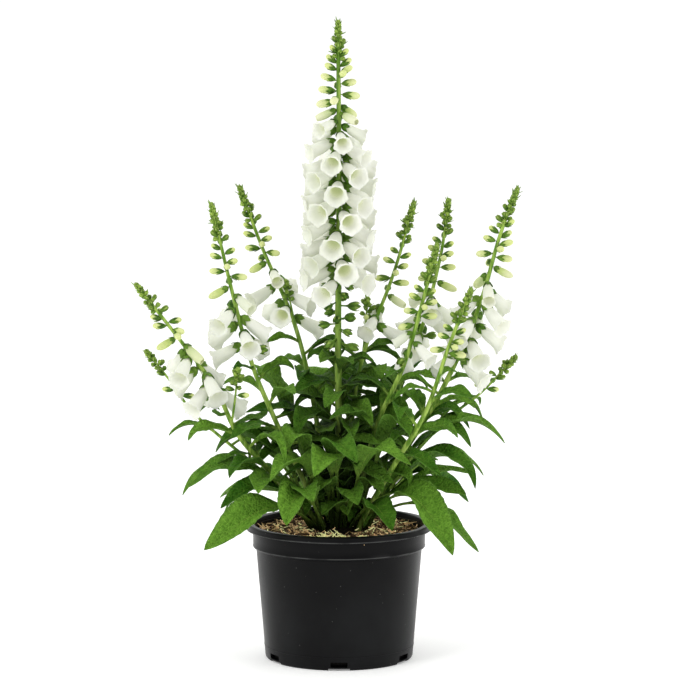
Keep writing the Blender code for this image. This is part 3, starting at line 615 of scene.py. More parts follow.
# Bells, from the calyx to the mouth: (distance along the axis, radius open, radius before it opens)
BELL_OUTLINE = [(9.4, 2.9, 2.8), (11.4, 4.3, 4.3), (14.5, 5.4, 5.4), (19, 6.5, 6.2), (24.5, 7.2, 6.5),
                (30, 7.6, 6.3), (34, 8.0, 5.6), (36.6, 8.9, 4.5), (38.8, 10.5, 3.0), (40.2, 12.4, 1.2)]
BELL_STAGES = ((0.6, 0.0), (0.82, 0.22), (0.96, 0.62), (1.0, 1.0))  # up to each openness, how open it is made
BELL_WALL = 0.5
MOUTH_START = 0.74  # the share of a bell's length where its mouth begins to flare
# strength of the painted glow of the petals
PETAL_GLOW = 0.3

# Buds, which are modelled one high and one in radius
BUD_COVERS = ((2.75, 0.76), (3.4, 0.58), (99, 0.41))  # up to each radius, the share that the calyx covers
BUD_NECK = 0.22  # the share of a bud's length that is thin stalk
TIP_BUDS_PER_MM = 0.85
TIP_CROWDING = 0.25  # how far apart the buds stand at the very tip, as a share of the mean
TIP_OVERLAP = 8  # how far below the dense tip its small buds go on
TIP_BUD_LENGTHS = (3.4, 7.8)  # from the tip down, as the next two
TIP_BUD_RISES = (3.6, 0.25)
TIP_BUD_GIRTHS = (0.35, 0.3)
HAIRS_PER_MM = 3
HAIR_LENGTH = 1.4
SEPALS = 5

EDGE_BEAD = 0.8  # how far above the pot's two lower edges their rounded bead stands out
FOOT_RING = 14  # the height of the moulded ring round the pot's foot

# The mix
MIX_GAP = 1.2  # between the mix and the pot's wall
CHIP_COUNT = 1600
CHIP_LENGTH = 10
CHIP_SIZES = ((0.6, 1.9), (0.4, 1.1), (0.5, 1.2))  # ranges of its length, width and height
CHIP_TILT = 0.38
CHIP_TONES = (0.12, 0.8)
PALE_CHIPS = 0.08
# strength of the painted glow of the paler chips
CHIP_GLOW = 0.36
PALE_PATCH = (-12, -54, 21)  # where most of the cream slivers lie, and how far round
PATCH_CHIPS = 6  # how many times as many of them lie there

# The small leaves round the crown: how far out their roots and tips lie, how high their tips are above
# the mix, and how high their arch is, how wide and how far rolled and swayed they are, as ranges
INNER_LEAVES = 34
INNER_RANGES = ((5, 12), (16, 40), (14, 78), (4, 14), (15, 24), (-40, 40), (-0.2, 0.2))
FRONT_SMALL_LEAVES = 7
FRONT_RANGES = ((9, 13), (34, 50), (8, 24), (24, 38), (17, 23), (-30, 30), (-0.2, 0.2))
FRONT_SHADE = -0.4  # takes the place of SHADE_ALL on them, as they catch the light


# Small tools

def let_go():
    bpy.ops.object.select_all(action="DESELECT")


def take(*things):
    """Selects objects, the first one active."""
    let_go()
    for thing in things:
        thing.select_set(True)
    bpy.context.view_layer.objects.active = things[0]


@contextlib.contextmanager
def edit_mode(all_of_it=True):
    """Edit mode, with all of the mesh selected or with its selection as it was."""
    bpy.ops.object.mode_set(mode="EDIT")
    if all_of_it:
        bpy.ops.mesh.select_all(action="SELECT")
    yield
    bpy.ops.object.mode_set(mode="OBJECT")


def applied(thing, kind, **settings):
    """Adds a modifier with its settings and applies it."""
    modifier = thing.modifiers.new("step", kind)
    for setting, value in settings.items():
        setattr(modifier, setting, value)
    take(thing)
    bpy.ops.object.modifier_apply(modifier="step")


def pattern(thing, name):
    """Takes the finished mesh of a modelled pattern, whose object is then removed."""
    mesh = thing.data
    mesh.name = name
    bpy.data.objects.remove(thing)
    return mesh


def merged(name, meshes):
    """One mesh of several, which are then removed."""
    bm = bmesh.new()
    for mesh in meshes:
        bm.from_mesh(mesh)
        bpy.data.meshes.remove(mesh)
    whole = bpy.data.meshes.new(name)
    bm.to_mesh(whole)
    bm.free()
    return whole


def reading(mesh, name, values):
    """Stores one number per point, or the same one everywhere, which a material reads by name."""
    layer = mesh.attributes.get(name) or mesh.attributes.new(name, "FLOAT", "POINT")
    layer.data.foreach_set("value", values if isinstance(values, list) else [values] * len(mesh.vertices))


def read_painted_shade(mesh, share_above):
    """How much painted shade each point gets, by how deep inside the plant it lies: 1 at its heart by the
    mix, 0 outside.
    """
    values = []
    for vert in mesh.vertices:
        inner = max(1 - math.hypot(vert.co.x, vert.co.y) / (SHADED_RADIUS * MM), 0)
        low = max(1 - (vert.co.z / MM - MIX_TOP) / SHADED_HEIGHT, 0)
        values.append(min(inner ** 1.3 * (share_above + low) * SHADE_STRENGTH, 1))
    reading(mesh, "depth", values)


def reshaped(mesh, place):
    """A copy of a pattern whose every point is put where place says, in mm."""
    copy = mesh.copy()
    for vert in copy.vertices:
        vert.co = place(vert.co) * MM
    return copy


def placed(mesh, frame, tone):
    """A copy of a pattern in mm, set in place by a frame in mm."""
    copy = mesh.copy()
    copy.transform(Matrix.Scale(MM, 4) @ frame)
    reading(copy, "tone", tone)
    return copy


def gathered(name, copies, material, slot, nodes):
    """Joins finished copies as one piece, which stands for CAD nodes."""
    mesh = merged(name, copies)
    mesh.materials.append(material)
    piece = bpy.data.objects.new(name, mesh)
    bpy.context.scene.collection.objects.link(piece)
    mesh.shade_smooth()
    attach(piece, "root")
    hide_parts(*nodes)
    return piece


# Materials

class Field:
    """A shader socket that takes part in sums."""

    def __init__(self, paint, socket):
        self.paint = paint
        self.socket = socket

    def __add__(self, other):
        return self.paint.sum("ADD", self, other)

    def __sub__(self, other):
        return self.paint.sum("SUBTRACT", self, other)

    def __rsub__(self, other):
        return self.paint.sum("SUBTRACT", other, self)

    def __mul__(self, other):
        return self.paint.sum("MULTIPLY", self, other)

    __radd__ = __add__
    __rmul__ = __mul__


class Paint:
    """A material and its nodes."""

    def __init__(self, name, **constants):
        self.material = bpy.data.materials.new(name)
        self.material.use_nodes = True
        self.tree = self.material.node_tree
        self.shader = self.tree.nodes["Principled BSDF"]
        for socket, value in constants.items():
            self.shader.inputs[socket.replace("_", " ")].default_value = value

    def node(self, kind, settings=(), output=0, **values):
        """One node: its settings first, then the values or links of its sockets, by name or as in0, in1."""
        made = self.tree.nodes.new("ShaderNode" + kind)
        for setting, value in dict(settings).items():
            setattr(made, setting, value)
        for socket, value in values.items():
            key = int(socket[2:]) if socket[2:].isdigit() else socket.replace("_", " ")
            if isinstance(value, Field):
                self.tree.links.new(value.socket, made.inputs[key])
            else:
                made.inputs[key].default_value = value
        return Field(self, made.outputs[output])

    def sum(self, operation, a, b=0.0, clamp=False):
        return self.node("Math", {"operation": operation, "use_clamp": clamp}, in0=a, in1=b)

    def between(self, value, low, high):
        """0 below low and 1 above high, with a smooth rise."""
        return self.node("MapRange", {"interpolation_type": "SMOOTHSTEP"}, Value=value, From_Min=low,
                         From_Max=high)

    def blend(self, share, a, b):
        """From colour a to colour b. A colour is a field, or its usual three values from 0 to 255."""
        a, b = (colour if isinstance(colour, Field) else rgba(*colour) for colour in (a, b))
        return self.node("Mix", {"data_type": "RGBA"}, 2, in0=share, in6=a, in7=b)

    def place(self):
        return self.node("TexCoord", output=3)

    def height(self):
        """How high each point lies, in metres."""
        return self.node("SeparateXYZ", output=2, Vector=self.place())

    def noise(self, scale, detail=3.0, stretch=(1, 1, 1), of=None, roughness=0.5):
        spot = self.node("Mapping", Vector=of or self.place(), Scale=stretch)
        return self.node("TexNoise", Vector=spot, Scale=scale, Detail=detail, Roughness=roughness)

    def patches(self, scale, detail, low, high):
        """Noise as soft-edged patches, 0 below low and 1 above high."""
        return self.between(self.noise(scale, detail), low, high)

    def cells(self, scale, feature="F1"):
        return self.node("TexVoronoi", {"feature": feature}, Vector=self.place(), Scale=scale)

    def attribute(self, name):
        return self.node("Attribute", {"attribute_name": name}, 2)

    def along_and_across(self, name):
        """The two readings of a UV map."""
        spot = self.node("UVMap", {"uv_map": name})
        split = self.node("SeparateXYZ", Vector=spot)
        return split, Field(self, split.socket.node.outputs[1])

    def finished(self, colour, rough=None, relief=None, depth=0, glow=None):
        """The material, with its bumps depth mm deep, and as glow a painted light that it gives off."""
        bumps = relief and self.node("Bump", Height=relief, Distance=depth * MM, Strength=1.0)
        inputs = {"Base Color": colour, "Roughness": rough, "Normal": bumps, "Emission Color": glow}
        for socket, field in inputs.items():
            if field:
                self.tree.links.new(field.socket, self.shader.inputs[socket])
        return self.material


def rgba(*levels):
    """A colour from its usual 0 to 255 values."""
    return tuple(((v / 255 + 0.055) / 1.055) ** 2.4 if v > 10 else v / 3295 for v in levels) + (1,)


def paint_leaf():
    """Dull green with a pale midrib and stalk, sunken side veins, quilting and mottling, and painted shade,
    near black, deep inside the plant.
    """
    paint = Paint("leaf_green", IOR=1.4, Specular_IOR_Level=0.13)
    along, across = paint.along_and_across("blade")
    depth = paint.attribute("depth")
    from_rib = paint.sum("ABSOLUTE", across - 0.5) * 2
    wobble = paint.noise(90, 2) * 0.5
    ladder = paint.sum("FRACT", along * VEIN_PAIRS * 1.6 - from_rib * 0.9 + wobble * 0.35)
    vein = 1 - paint.between(paint.sum("ABSOLUTE", ladder - 0.5), 0.0, 0.16)
    rib = 1 - paint.between(from_rib, 0.02, 0.075)
    quilt = paint.between(paint.cells(230.0, "DISTANCE_TO_EDGE"), 0.0, 0.3)
    mottle = paint.patches(42, 3, 0.3, 0.7) * 0.25 + paint.patches(170, 3, 0.3, 0.7) * 0.3
    speckle = paint.patches(620, 2, 0.38, 0.62)
    shade = paint.sum("ADD", paint.attribute("tone") * 0.6, mottle * 0.5, True)
    green = paint.blend(shade, (35, 86, 5), (134, 184, 64))
    green = paint.blend(quilt * 0.3, green, (36, 82, 6))
    green = paint.blend(speckle * 0.26, green, (30, 72, 4))
    green = paint.blend(vein * 0.1, green, (126, 168, 60))
    green = paint.blend(paint.attribute("underside") * 0.3, green, (100, 134, 58))
    # painted shade: by the depth reading the blade, and its pale rib and stalk, go near black deep inside the
    # plant
    green = paint.blend(depth * 0.93, green, (3, 16, 0))
    pale = paint.blend(depth * 0.95, (156, 192, 80), (10, 26, 2))
    green = paint.blend(rib * (1 - paint.between(along, 0.3, 1.0)) * 0.9, green, pale)
    green = paint.blend(paint.attribute("stalk") * 0.75, green, pale)
    green = paint.blend(paint.between(from_rib, 0.93, 1.0) * 0.35, green, (128, 176, 84))
    relief = quilt * 0.9 - vein * 0.9 - rib * 0.5 + speckle * 0.35
    return paint.finished(green, paint.noise(60, 2) * 0.25 + 0.5, relief, 0.8)


def paint_stem():
    """Pale green with long darker streaks and a bloom of fine hairs, and painted shade, near black, deep
    inside the plant.
    """
    paint = Paint("stem_green", Specular_IOR_Level=0.25)
    streak = paint.noise(260, 3, (1, 1, 0.08))
    green = paint.blend(paint.between(streak, 0.38, 0.62), (96, 138, 32), (166, 196, 88))
    green = paint.blend(paint.attribute("tone"), paint.blend(0.5, green, (56, 96, 16)), green)
    # painted shade: near black deep inside the plant, by the depth reading
    green = paint.blend(paint.attribute("depth") * 0.93, green, (8, 18, 3))
    return paint.finished(green, streak * 0.2 + 0.42, streak + paint.noise(1500, 2) * 0.3, 0.22)


def paint_calyx():
    """Sepals and pedicels, darker than the stem, with pale edges to the youngest."""
    paint = Paint("calyx_green", Specular_IOR_Level=0.2)
    mottle = paint.noise(240, 3)
    green = paint.blend(paint.between(mottle, 0.3, 0.7), (40, 78, 12), (92, 134, 38))
    # tone varies at random, and on the buds of a spike's tip it also carries painted highlights
    green = paint.blend(paint.attribute("tone"), green, (150, 182, 76))
    green = paint.blend(paint.attribute("end") * 0.8, green, (196, 214, 112))
    return paint.finished(green, mottle * 0.15 + 0.48, mottle, 0.25)


def paint_petal():
    """White petal, lime while young, green at the calyx, with a green-yellow freckled throat, and a painted
    glow strongest deep in the throat.
    """
    paint = Paint("petal_white", IOR=1.38, Specular_IOR_Level=0.2, Subsurface_Weight=0.25,
                  Subsurface_Radius=(0.004, 0.004, 0.003), Subsurface_Scale=0.6, Emission_Strength=PETAL_GLOW)
    along, across = paint.along_and_across("petal")
    young, tone, inside = (paint.attribute(name) for name in ("young", "tone", "inside"))
    warm = paint.blend(tone, (218, 221, 207), (231, 232, 222))
    veins = paint.noise(1, 2, (6, 60, 1), paint.node("CombineXYZ", X=along, Y=across, Z=0.0))
    white = paint.blend(paint.between(veins, 0.45, 0.75) * 0.16, warm, (208, 213, 184))
    white = paint.blend((1 - paint.between(along, 0.0, 0.3)) * 0.35, white, (200, 212, 140))
    spots = (1 - paint.between(paint.cells(560.0), 0.16, 0.3)) * paint.between(along, 0.35, 0.55)
    throat = paint.blend(paint.between(along, 0.2, 0.7), (202, 209, 168), (227, 229, 211))
    throat = paint.blend(spots * (1 - paint.between(along, 0.65, 0.8)) * 0.6, throat, (150, 158, 96))
    throat = paint.blend(paint.between(along, 0.52, 0.74), throat, warm)
    petal = paint.blend(inside, white, throat)
    ripe = paint.blend(tone, (198, 212, 122), (220, 223, 174))
    lime = paint.blend(paint.between(along, 0.1, 0.8), (170, 192, 96), ripe)
    petal = paint.blend(young, petal, lime)
    # painted glow: the petal gives off light of its own colour, most deep in the throat and least on young
    # buds, which lifts its shade
    deep = inside * (1 - paint.between(along, 0.55, 0.9))
    glow = paint.blend(deep * 0.4 - young * 0.14 + 0.28, (0, 0, 0), petal)
    relief = veins * 0.5 + paint.noise(900, 2) * 0.3
    return paint.finished(petal, paint.noise(300, 2) * 0.15 + 0.45, relief, 0.15, glow)


def paint_pot():
    """Satin black plastic with dull patches, fine grain and a little dust, with painted shade that makes it
    darker higher up, and a painted highlight along two edges.
    """
    paint = Paint("black_plastic", Specular_IOR_Level=0.1)
    patch = paint.patches(14, 4, 0.35, 0.7)
    speck = 1 - paint.between(paint.cells(95.0), 0.014, 0.045)
    height = paint.height()
    # painted shade: from 4 to 12 cm up the pot goes over from this black to a darker one
    low_black = paint.blend(patch, (11, 11, 12), (22, 23, 24))
    painted_shade_black = paint.blend(patch, (4, 4, 5), (10, 10, 11))
    black = paint.blend(paint.between(height, 0.04, 0.12), low_black, painted_shade_black)
    black = paint.blend(speck * 0.6, black, (130, 130, 126))
    # painted highlight: a thin pale line on the bead at the lip's and the collar's lower edges, patchy in
    # strength
    edge_highlight = 0
    for edge in (LIP_FOOT + EDGE_BEAD, COLLAR_FOOT + EDGE_BEAD):
        off = paint.sum("ABSOLUTE", height - edge * MM)
        edge_highlight = edge_highlight + (1 - paint.between(off, 0.2 * MM, 0.7 * MM))
    highlight_strength = paint.patches(60, 3, 0.3, 0.6) * 0.15 + 0.04
    black = paint.blend(edge_highlight * highlight_strength, black, (150, 152, 150))
    rough = patch * 0.1 + paint.noise(420, 2) * 0.08 + 0.27
    return paint.finished(black, rough, paint.noise(1300, 3) + paint.noise(40, 2) * 1.2, 0.05)


def paint_mix():
    """Dark damp crumb between the chips, with painted shade that makes it nearly black down in the drain
    slots.
    """
    paint = Paint("damp_crumb", Specular_IOR_Level=0.2)
    crumb = paint.noise(420, 5, roughness=0.65)
    brown = paint.blend(paint.between(crumb, 0.35, 0.7), (22, 16, 9), (78, 56, 36))
    # painted shade: nearly black below 8 cm, going over to the crumb's own colour by 12 cm
    brown = paint.blend(paint.between(paint.height(), 0.08, 0.12), (6, 5, 4), brown)
    return paint.finished(brown, crumb * 0.2 + 0.75, crumb, 1.2)


def paint_chips():
    """Bark and fibre chips: browns by chip, with a few cream slivers, and a painted glow on the paler ones.
    """
    paint = Paint("bark_chips", Specular_IOR_Level=0.25, Emission_Strength=CHIP_GLOW)
    tone = paint.attribute("tone")
    grain = paint.noise(600, 4, roughness=0.7)
    bark = paint.blend(paint.between(tone, 0.25, 0.8), (70, 46, 28), (255, 216, 160))
    bark = paint.blend(paint.between(tone, 0.84, 0.9), bark, (240, 240, 172))
    bark = paint.blend(paint.between(grain, 0.45, 0.8) * 0.35, bark, (56, 36, 22))
    # painted glow: the paler chips give off light of their own colour, which lifts them out of the shade of
    # the leaves and the rim
    glow = paint.blend(paint.between(tone, 0.4, 0.9), (0, 0, 0), bark)
    return paint.finished(bark, grain * 0.2 + 0.7, grain, 0.6, glow)


def paint_heart():
    """Old leaf bases and crumb, dark brown."""
    paint = Paint("crown_brown", Specular_IOR_Level=0.15)
    crumb = paint.noise(300, 5, roughness=0.7)
    brown = paint.blend(paint.between(crumb, 0.35, 0.65), (7, 6, 4), (34, 28, 14))
    return paint.finished(brown, crumb * 0.2 + 0.75, crumb, 1.5)


def paint_floor():
    paint = Paint("white_sweep", Roughness=0.9, Specular_IOR_Level=0.1, Emission_Color=(1, 1, 1, 1),
                  Emission_Strength=0.22)
    return paint.finished(paint.blend(paint.noise(3, 2), (246, 246, 245), (250, 250, 249)))


# Patterns, each modelled once

def thin_block(name, steps, strips, thickness=1):
    """A block on a unit square: x runs from root to tip, y across, z from the under to the upper side."""
    bpy.ops.mesh.primitive_grid_add(x_subdivisions=steps, y_subdivisions=strips, size=1, location=(0.5, 0, 0))
    blade = bpy.context.object
    bpy.ops.object.transform_apply()
    applied(blade, "SOLIDIFY", thickness=thickness, offset=0, use_even_offset=False)
    return pattern(blade, name)


def leaf_pattern(steps):
    """A blade before it is bent, with a UV map for its veins."""
    mesh = thin_block("leaf", steps, LEAF_STRIPS)
    mesh.uv_layers[0].name = "blade"
    reading(mesh, "underside", [float(vert.co.z < 0) for vert in mesh.vertices])
    return mesh


def blade_copy(mesh, leaf, tone, shade=SHADE_ALL):
    """The leaf pattern bent along a planned leaf, with teeth, puckers and a rib."""
    frames = {}
    gather = 0.5 + 0.5 * math.sin(7 * leaf.turn)

    def place(spot):
        t = held(spot.x)
        key = round(t * 1000)
        if key not in frames:
            frames[key] = leaf.frame(t) + (leaf.half_width(t),)
        centre, side, up, half = frames[key]
        y = held(spot.y * 2, -1)
        across = math.copysign(abs(y) ** 1.5, y)
        off_rib = abs(across)
        u = max(t - leaf.stalk, 0) / (1 - leaf.stalk)
        full = math.sin(math.pi * min(u, 1))
        on_blade = min(u * 6, 1)
        teeth = TOOTH * math.cos(key * math.pi / 24) + NOTCH * math.sin(13 * u + leaf.turn)
        tooth = 1 + off_rib ** 6 * full * teeth
        if u > 0.5:
            half *= max(full, 0.03) ** -ROUND_TIP
        if t > 0.999:
            half = TIP_HALF_WIDTH
        ripple = math.sin(VEIN_PAIRS * 2 * math.pi * u - VEIN_SLANT * off_rib)
        pucker = PUCKER * ripple * full * off_rib * (1.2 - off_rib)
        rib = RIB_HEIGHT * (1 - 0.75 * t) * math.exp(-(across / RIB_WIDTH) ** 2)
        channel = CHANNEL * off_rib ** 2 * (1 - on_blade)
        surface = BLADE_THICKNESS / 2 - 0.25 * rib if spot.z > 0 else -BLADE_THICKNESS / 2 - rib
        wave = EDGE_WAVE * half * full * across ** 2 * math.sin(14 * u + 2 * leaf.turn + across)
        fold = GATHER * gather * half * off_rib ** 1.3 * on_blade
        curl = leaf.width * TIP_CURL * max(u - 0.45, 0) ** 2 / 0.3
        lift = leaf.lift(t, across) + wave + fold + pucker + channel + surface
        lift += curl * math.sin(3 * leaf.turn)
        sway = curl * math.cos(5 * leaf.turn)
        return centre + side * (half * across * tooth * (1 - 0.16 * gather) + sway) + up * lift

    copy = reshaped(mesh, place)
    reading(copy, "tone", tone)
    reading(copy, "stalk", [1 - held((vert.co.x - leaf.stalk) / 0.08) for vert in mesh.vertices])
    # painted shade, by how deep inside the plant each point lies
    read_painted_shade(copy, shade)
    return copy


def small_leaf(name, length, width, steps, arch, fold):
    """A closed narrow leaf that stands along +Z and bends towards +X, for sepals and bracts."""
    mesh = thin_block(name, steps, 3, 0.4)
    for vert in mesh.vertices:
        t = held(vert.co.x)
        y = held(vert.co.y * 2, -1)
        half = width * 0.1
        if t >= 1:
            half = 0.05
        elif t > 0:
            half = width / 2 * (0.25 * (1 - t) + math.sin(math.pi * t ** 0.8) ** 0.8)
        x = arch * math.sin(math.pi * t * 0.75) - fold * abs(y) * half - vert.co.z
        vert.co = (x, half * y, length * t)
    return mesh


def drop_top(thing, height):
    """Deletes the flat face that closes a body at a height."""
    with edit_mode():
        bpy.ops.mesh.select_mode(type="FACE")
        bpy.ops.mesh.select_all(action="DESELECT")
    for face in thing.data.polygons:
        face.select = face.center.z > height - 0.01 and abs(face.normal.z) > 0.99
    with edit_mode(False):
        bpy.ops.mesh.delete(type="ONLY_FACE")
        bpy.ops.mesh.select_mode(type="VERT")


def pulled_tube(name, outline, points, open_top=False):
    """A round body pulled up from a circle through (height, radius) pairs."""
    low, radius = outline[0]
    bpy.ops.mesh.primitive_circle_add(vertices=points, radius=radius, fill_type="NGON", location=(0, 0, low))
    tube = bpy.context.object
    tube.name = name
    with edit_mode():
        for (z, r), (before, wide) in zip(outline[1:], outline):
            bpy.ops.mesh.extrude_region_move(TRANSFORM_OT_translate={"value": (0, 0, z - before)})
            bpy.ops.transform.resize(value=(r / wide, r / wide, 1))
    bpy.ops.object.transform_apply()
    with edit_mode():
        bpy.ops.mesh.remove_doubles(threshold=1e-5)
        bpy.ops.mesh.normals_make_consistent(inside=False)
    if open_top:
        drop_top(tube, outline[-1][0])
    return tube


def read_petal(mesh, start, span):
    """A UV map whose u runs along the petal tube and v round it."""
    layer = mesh.uv_layers.get("petal") or mesh.uv_layers.new(name="petal")
    for loop in mesh.loops:
        x, y, z = mesh.vertices[loop.vertex_index].co
        layer.data[loop.index].uv = ((z - start) / span, math.atan2(y, x) / (2 * math.pi) + 0.5)


def bell_pattern(open_now):
    """A hollow bell with five lobes: the lowest, at +X, reaches furthest, and the side ones flare most."""
    start = BELL_OUTLINE[0][0]
    span = BELL_OUTLINE[-1][0] - start
    outline = [(z, between(young, wide, open_now ** between(1.6, 0.8, (z - start) / span)))
               for z, wide, young in BELL_OUTLINE]
    bell = pulled_tube("bell", outline, BELL_POINTS, True)
    for vert in bell.data.vertices:
        x, y, z = vert.co
        turn = math.atan2(y, x)
        t = (z - start) / span
        flare = max((t - MOUTH_START) / (1 - MOUTH_START), 0) ** 1.7 * open_now
        lobe = abs(math.cos(2.5 * turn)) ** 0.6  # 1 at the middle of a lobe, 0 between two
        below = (1 + math.cos(turn)) / 2  # 1 on the lower side, 0 on the upper
        wide = 1 + 0.09 * math.sin(math.pi * min(t, 1)) * math.cos(turn)
        wide += flare * (0.05 * abs(math.sin(turn)) + 0.13 * (lobe - 0.6) - 0.14 * (1 - below) ** 2
                         - 0.05 * below ** 2 + 0.055 * math.sin(10 * turn + 1))
        reach = flare * (3.2 * below ** 3 - 1.6 * (1 - below) + 1.6 * (lobe - 0.5)
                         + 0.4 * math.sin(15 * turn))
        vert.co = (x * wide, y * wide, z + reach)
    applied(bell, "SOLIDIFY", thickness=BELL_WALL, offset=-1, use_even_offset=False, use_rim=True)
    mesh = pattern(bell, "bell")
    count = len(mesh.vertices)
    reading(mesh, "inside", [float(i >= count // 2) for i in range(count)])
    reading(mesh, "young", max(0.0, 0.95 - 1.25 * open_now))
    read_petal(mesh, start, span)
    return mesh


def pedicel(length, radius, thick):
    """The short stalk of a flower, from the stem's centre line out."""
    outline = [(0, radius), (length * 0.6, radius), (length, thick)]
    return pattern(pulled_tube("pedicel", outline, 6), "pedicel")


def calyx_pattern(length, lean, spread, foot):
    """A stalk with broad sepals round the base of a bell."""
    sepal = small_leaf("sepal", length, length * 0.6, 6, length * 0.12, 0.2)
    sepals = []
    for i in range(SEPALS):
        copy = sepal.copy()
        turn = Matrix.Rotation(math.radians(360 / SEPALS * (i + 0.5)), 4, "Z")
        tilt = Matrix.Rotation(math.radians(lean), 4, "Y")
        copy.transform(turn @ Matrix.Translation((spread, 0, foot)) @ tilt)
        sepals.append(copy)
    return merged("calyx", [pedicel(7.5, 0.9, 2.6), merged("sepals", sepals)])


def bud_girth(z):
    """The radius of a bud of unit length and radius 1: oblong past its thin stalk, with a blunt end."""
    u = held((z - BUD_NECK) / (1 - BUD_NECK))
    return between(0.74, 1, min(u / 0.6, 1)) * (1 - abs(2 * u - 1) ** 3.0) ** 0.5


def bud_pattern(heights, sides):
    """The petals of a bud, fattest beyond the middle."""
    outline = [(z, max(bud_girth(z), 0.12)) for z in heights]
    petals = pattern(pulled_tube("bud", outline, sides), "bud_petals")
    reading(petals, "inside", 0.0)
    reading(petals, "young", 1.0)
    read_petal(petals, heights[0], 1 - heights[0])
    return petals


def bud_calyx_pattern(cover):
    """Sepals laid closely over a share of a bud, on its thin stalk."""
    sepals = []
    ends = []
    for i in range(SEPALS):
        mesh = thin_block("sepal", 5, 2)
        for vert in mesh.vertices:
            t = held(vert.co.x)
            y = held(vert.co.y * 2, -1)
            z = BUD_NECK - 0.03 + cover * t
            turn = math.radians(360 / SEPALS * i) + y * 0.74 * (1 - t ** 2.6)
            out = max(bud_girth(z), 0.25) + (0.09 if vert.co.z > 0 else 0.01) + 0.05 * (1 - abs(y))
            vert.co = (out * math.cos(turn), out * math.sin(turn), z)
            ends.append(max((z - 0.6) / 0.4, 0) ** 1.3)
        sepals.append(mesh)
    cup = merged("sepals", sepals)
    reading(cup, "end", ends)
    stem = pulled_tube("stalk", [(0, 0.15), (BUD_NECK - 0.05, 0.15), (BUD_NECK, 0.32), (0.3, 0.7)], 6)
    return merged("bud_calyx", [pattern(stem, "stalk"), cup])


def husk_pattern():
    """The closed calyx that a dropped bell leaves round its seed pod, on a long stalk."""
    stalk = pedicel(HUSK_LENGTH * 0.5, 0.6, 0.9)
    husk = bud_calyx_pattern(0.72)
    husk.transform(Matrix.Translation((0, 0, HUSK_LENGTH * 0.3))
                   @ Matrix.Diagonal((HUSK_RADIUS, HUSK_RADIUS, HUSK_LENGTH * 0.78, 1)))
    pod = pulled_tube("pod", [(8, 1.5), (10, 2.5), (12, 2.3), (13.5, 1.3), (15, 0.3)], 8)
    return merged("husk", [stalk, husk, pattern(pod, "pod")])


def stalk_pattern():
    """An upright tube of unit length and radius with many rings."""
    outline = [(k / STALK_RINGS, 1) for k in range(STALK_RINGS + 1)]
    return pattern(pulled_tube("stalk", outline, STALK_POINTS), "stalk")


def stalk_copy(mesh, stem, high, ribs, tone):
    """The tube pattern bent along a stem, from its foot to a distance from its tip, with shallow ribs."""
    frames = []
    side = Vector((1, 0, 0))
    for k in range(STALK_RINGS + 1):
        down = between(stem.length, high, k / STALK_RINGS)
        centre, up = stem.place(down)
        side = (side - up * side.dot(up)).normalized()
        frames.append((centre, side, up.cross(side), stem.radius(down)))

    def place(spot):
        centre, x, y, radius = frames[round(spot.z * STALK_RINGS)]
        turn = math.atan2(spot.y, spot.x)
        size = radius * (1 + ribs * math.cos(4 * turn)) * math.hypot(spot.x, spot.y)
        return centre + (x * math.cos(turn) + y * math.sin(turn)) * size

    copy = reshaped(mesh, place)
    reading(copy, "tone", tone)
    # painted shade, by how deep inside the plant each point lies
    read_painted_shade(copy, 0)
    return copy


def hair_pattern():
    bpy.ops.mesh.primitive_cone_add(vertices=3, radius1=0.07, radius2=0, depth=HAIR_LENGTH,
                                    end_fill_type="NOTHING", location=(0, 0, HAIR_LENGTH / 2))
    bpy.ops.object.transform_apply()
    return pattern(bpy.context.object, "hair")


def hairs_on(hair, stem, low, high, draw):
    """Short soft hairs that stand out of a stem."""
    copies = []
    for i in range(int(abs(high - low) * HAIRS_PER_MM)):
        down = draw.uniform(low, high)
        centre, up = stem.place(down)
        side = Matrix.Rotation(draw.uniform(0, 2 * math.pi), 3, up) @ up.orthogonal().normalized()
        root = centre + side * stem.radius(down) * 0.95
        frame = hanging_frame(root, (side + up * draw.uniform(-0.4, 0.5)).normalized())
        copies.append(placed(hair, frame @ Matrix.Scale(draw.uniform(0.5, 1.1), 4), 0.9))
    return copies


def chip_pattern():
    """A split sliver of bark, tapered and slightly bent."""
    bpy.ops.mesh.primitive_cube_add(size=1, scale=(CHIP_LENGTH, 1.7, 0.9))
    chip = bpy.context.object
    bpy.ops.object.transform_apply()
    with edit_mode():
        bpy.ops.mesh.subdivide(number_cuts=1)
    for vert in chip.data.vertices:
        x, y, z = vert.co
        end = 1 - (abs(x) / (CHIP_LENGTH / 2)) ** 2 * 0.55
        vert.co = (x, y * end + 0.25 * math.sin(x), z * end + 0.012 * x * x)
    return pattern(chip, "chip")


# Pieces

def cut_slots(pot):
    """Cuts the drain slots low in the wall, and a notch in the foot under each."""
    cutters = []
    out = BASE_RADIUS - 2
    for i in range(SLOTS):
        turn = math.radians(360 / SLOTS * i - 90)
        for depth, width, low, high in ((9, SLOT_WIDTH, 3.4, SLOT_TOP), (30, SLOT_WIDTH + 5, -3, 2.2)):
            spot = (math.cos(turn) * out, math.sin(turn) * out, (low + high) / 2)
            bpy.ops.mesh.primitive_cube_add(size=1, location=spot, rotation=(0, 0, turn),
                                            scale=(depth, width, high - low))
            cutters.append(bpy.context.object)
    take(*cutters)
    bpy.ops.object.transform_apply()
    for cutter in cutters:
        applied(cutter, "BEVEL", width=0.7, segments=2, limit_method="NONE")
    take(*cutters)
    bpy.ops.object.join()
    applied(pot, "BOOLEAN", operation="DIFFERENCE", object=cutters[0], solver="EXACT")
    bpy.data.objects.remove(cutters[0])


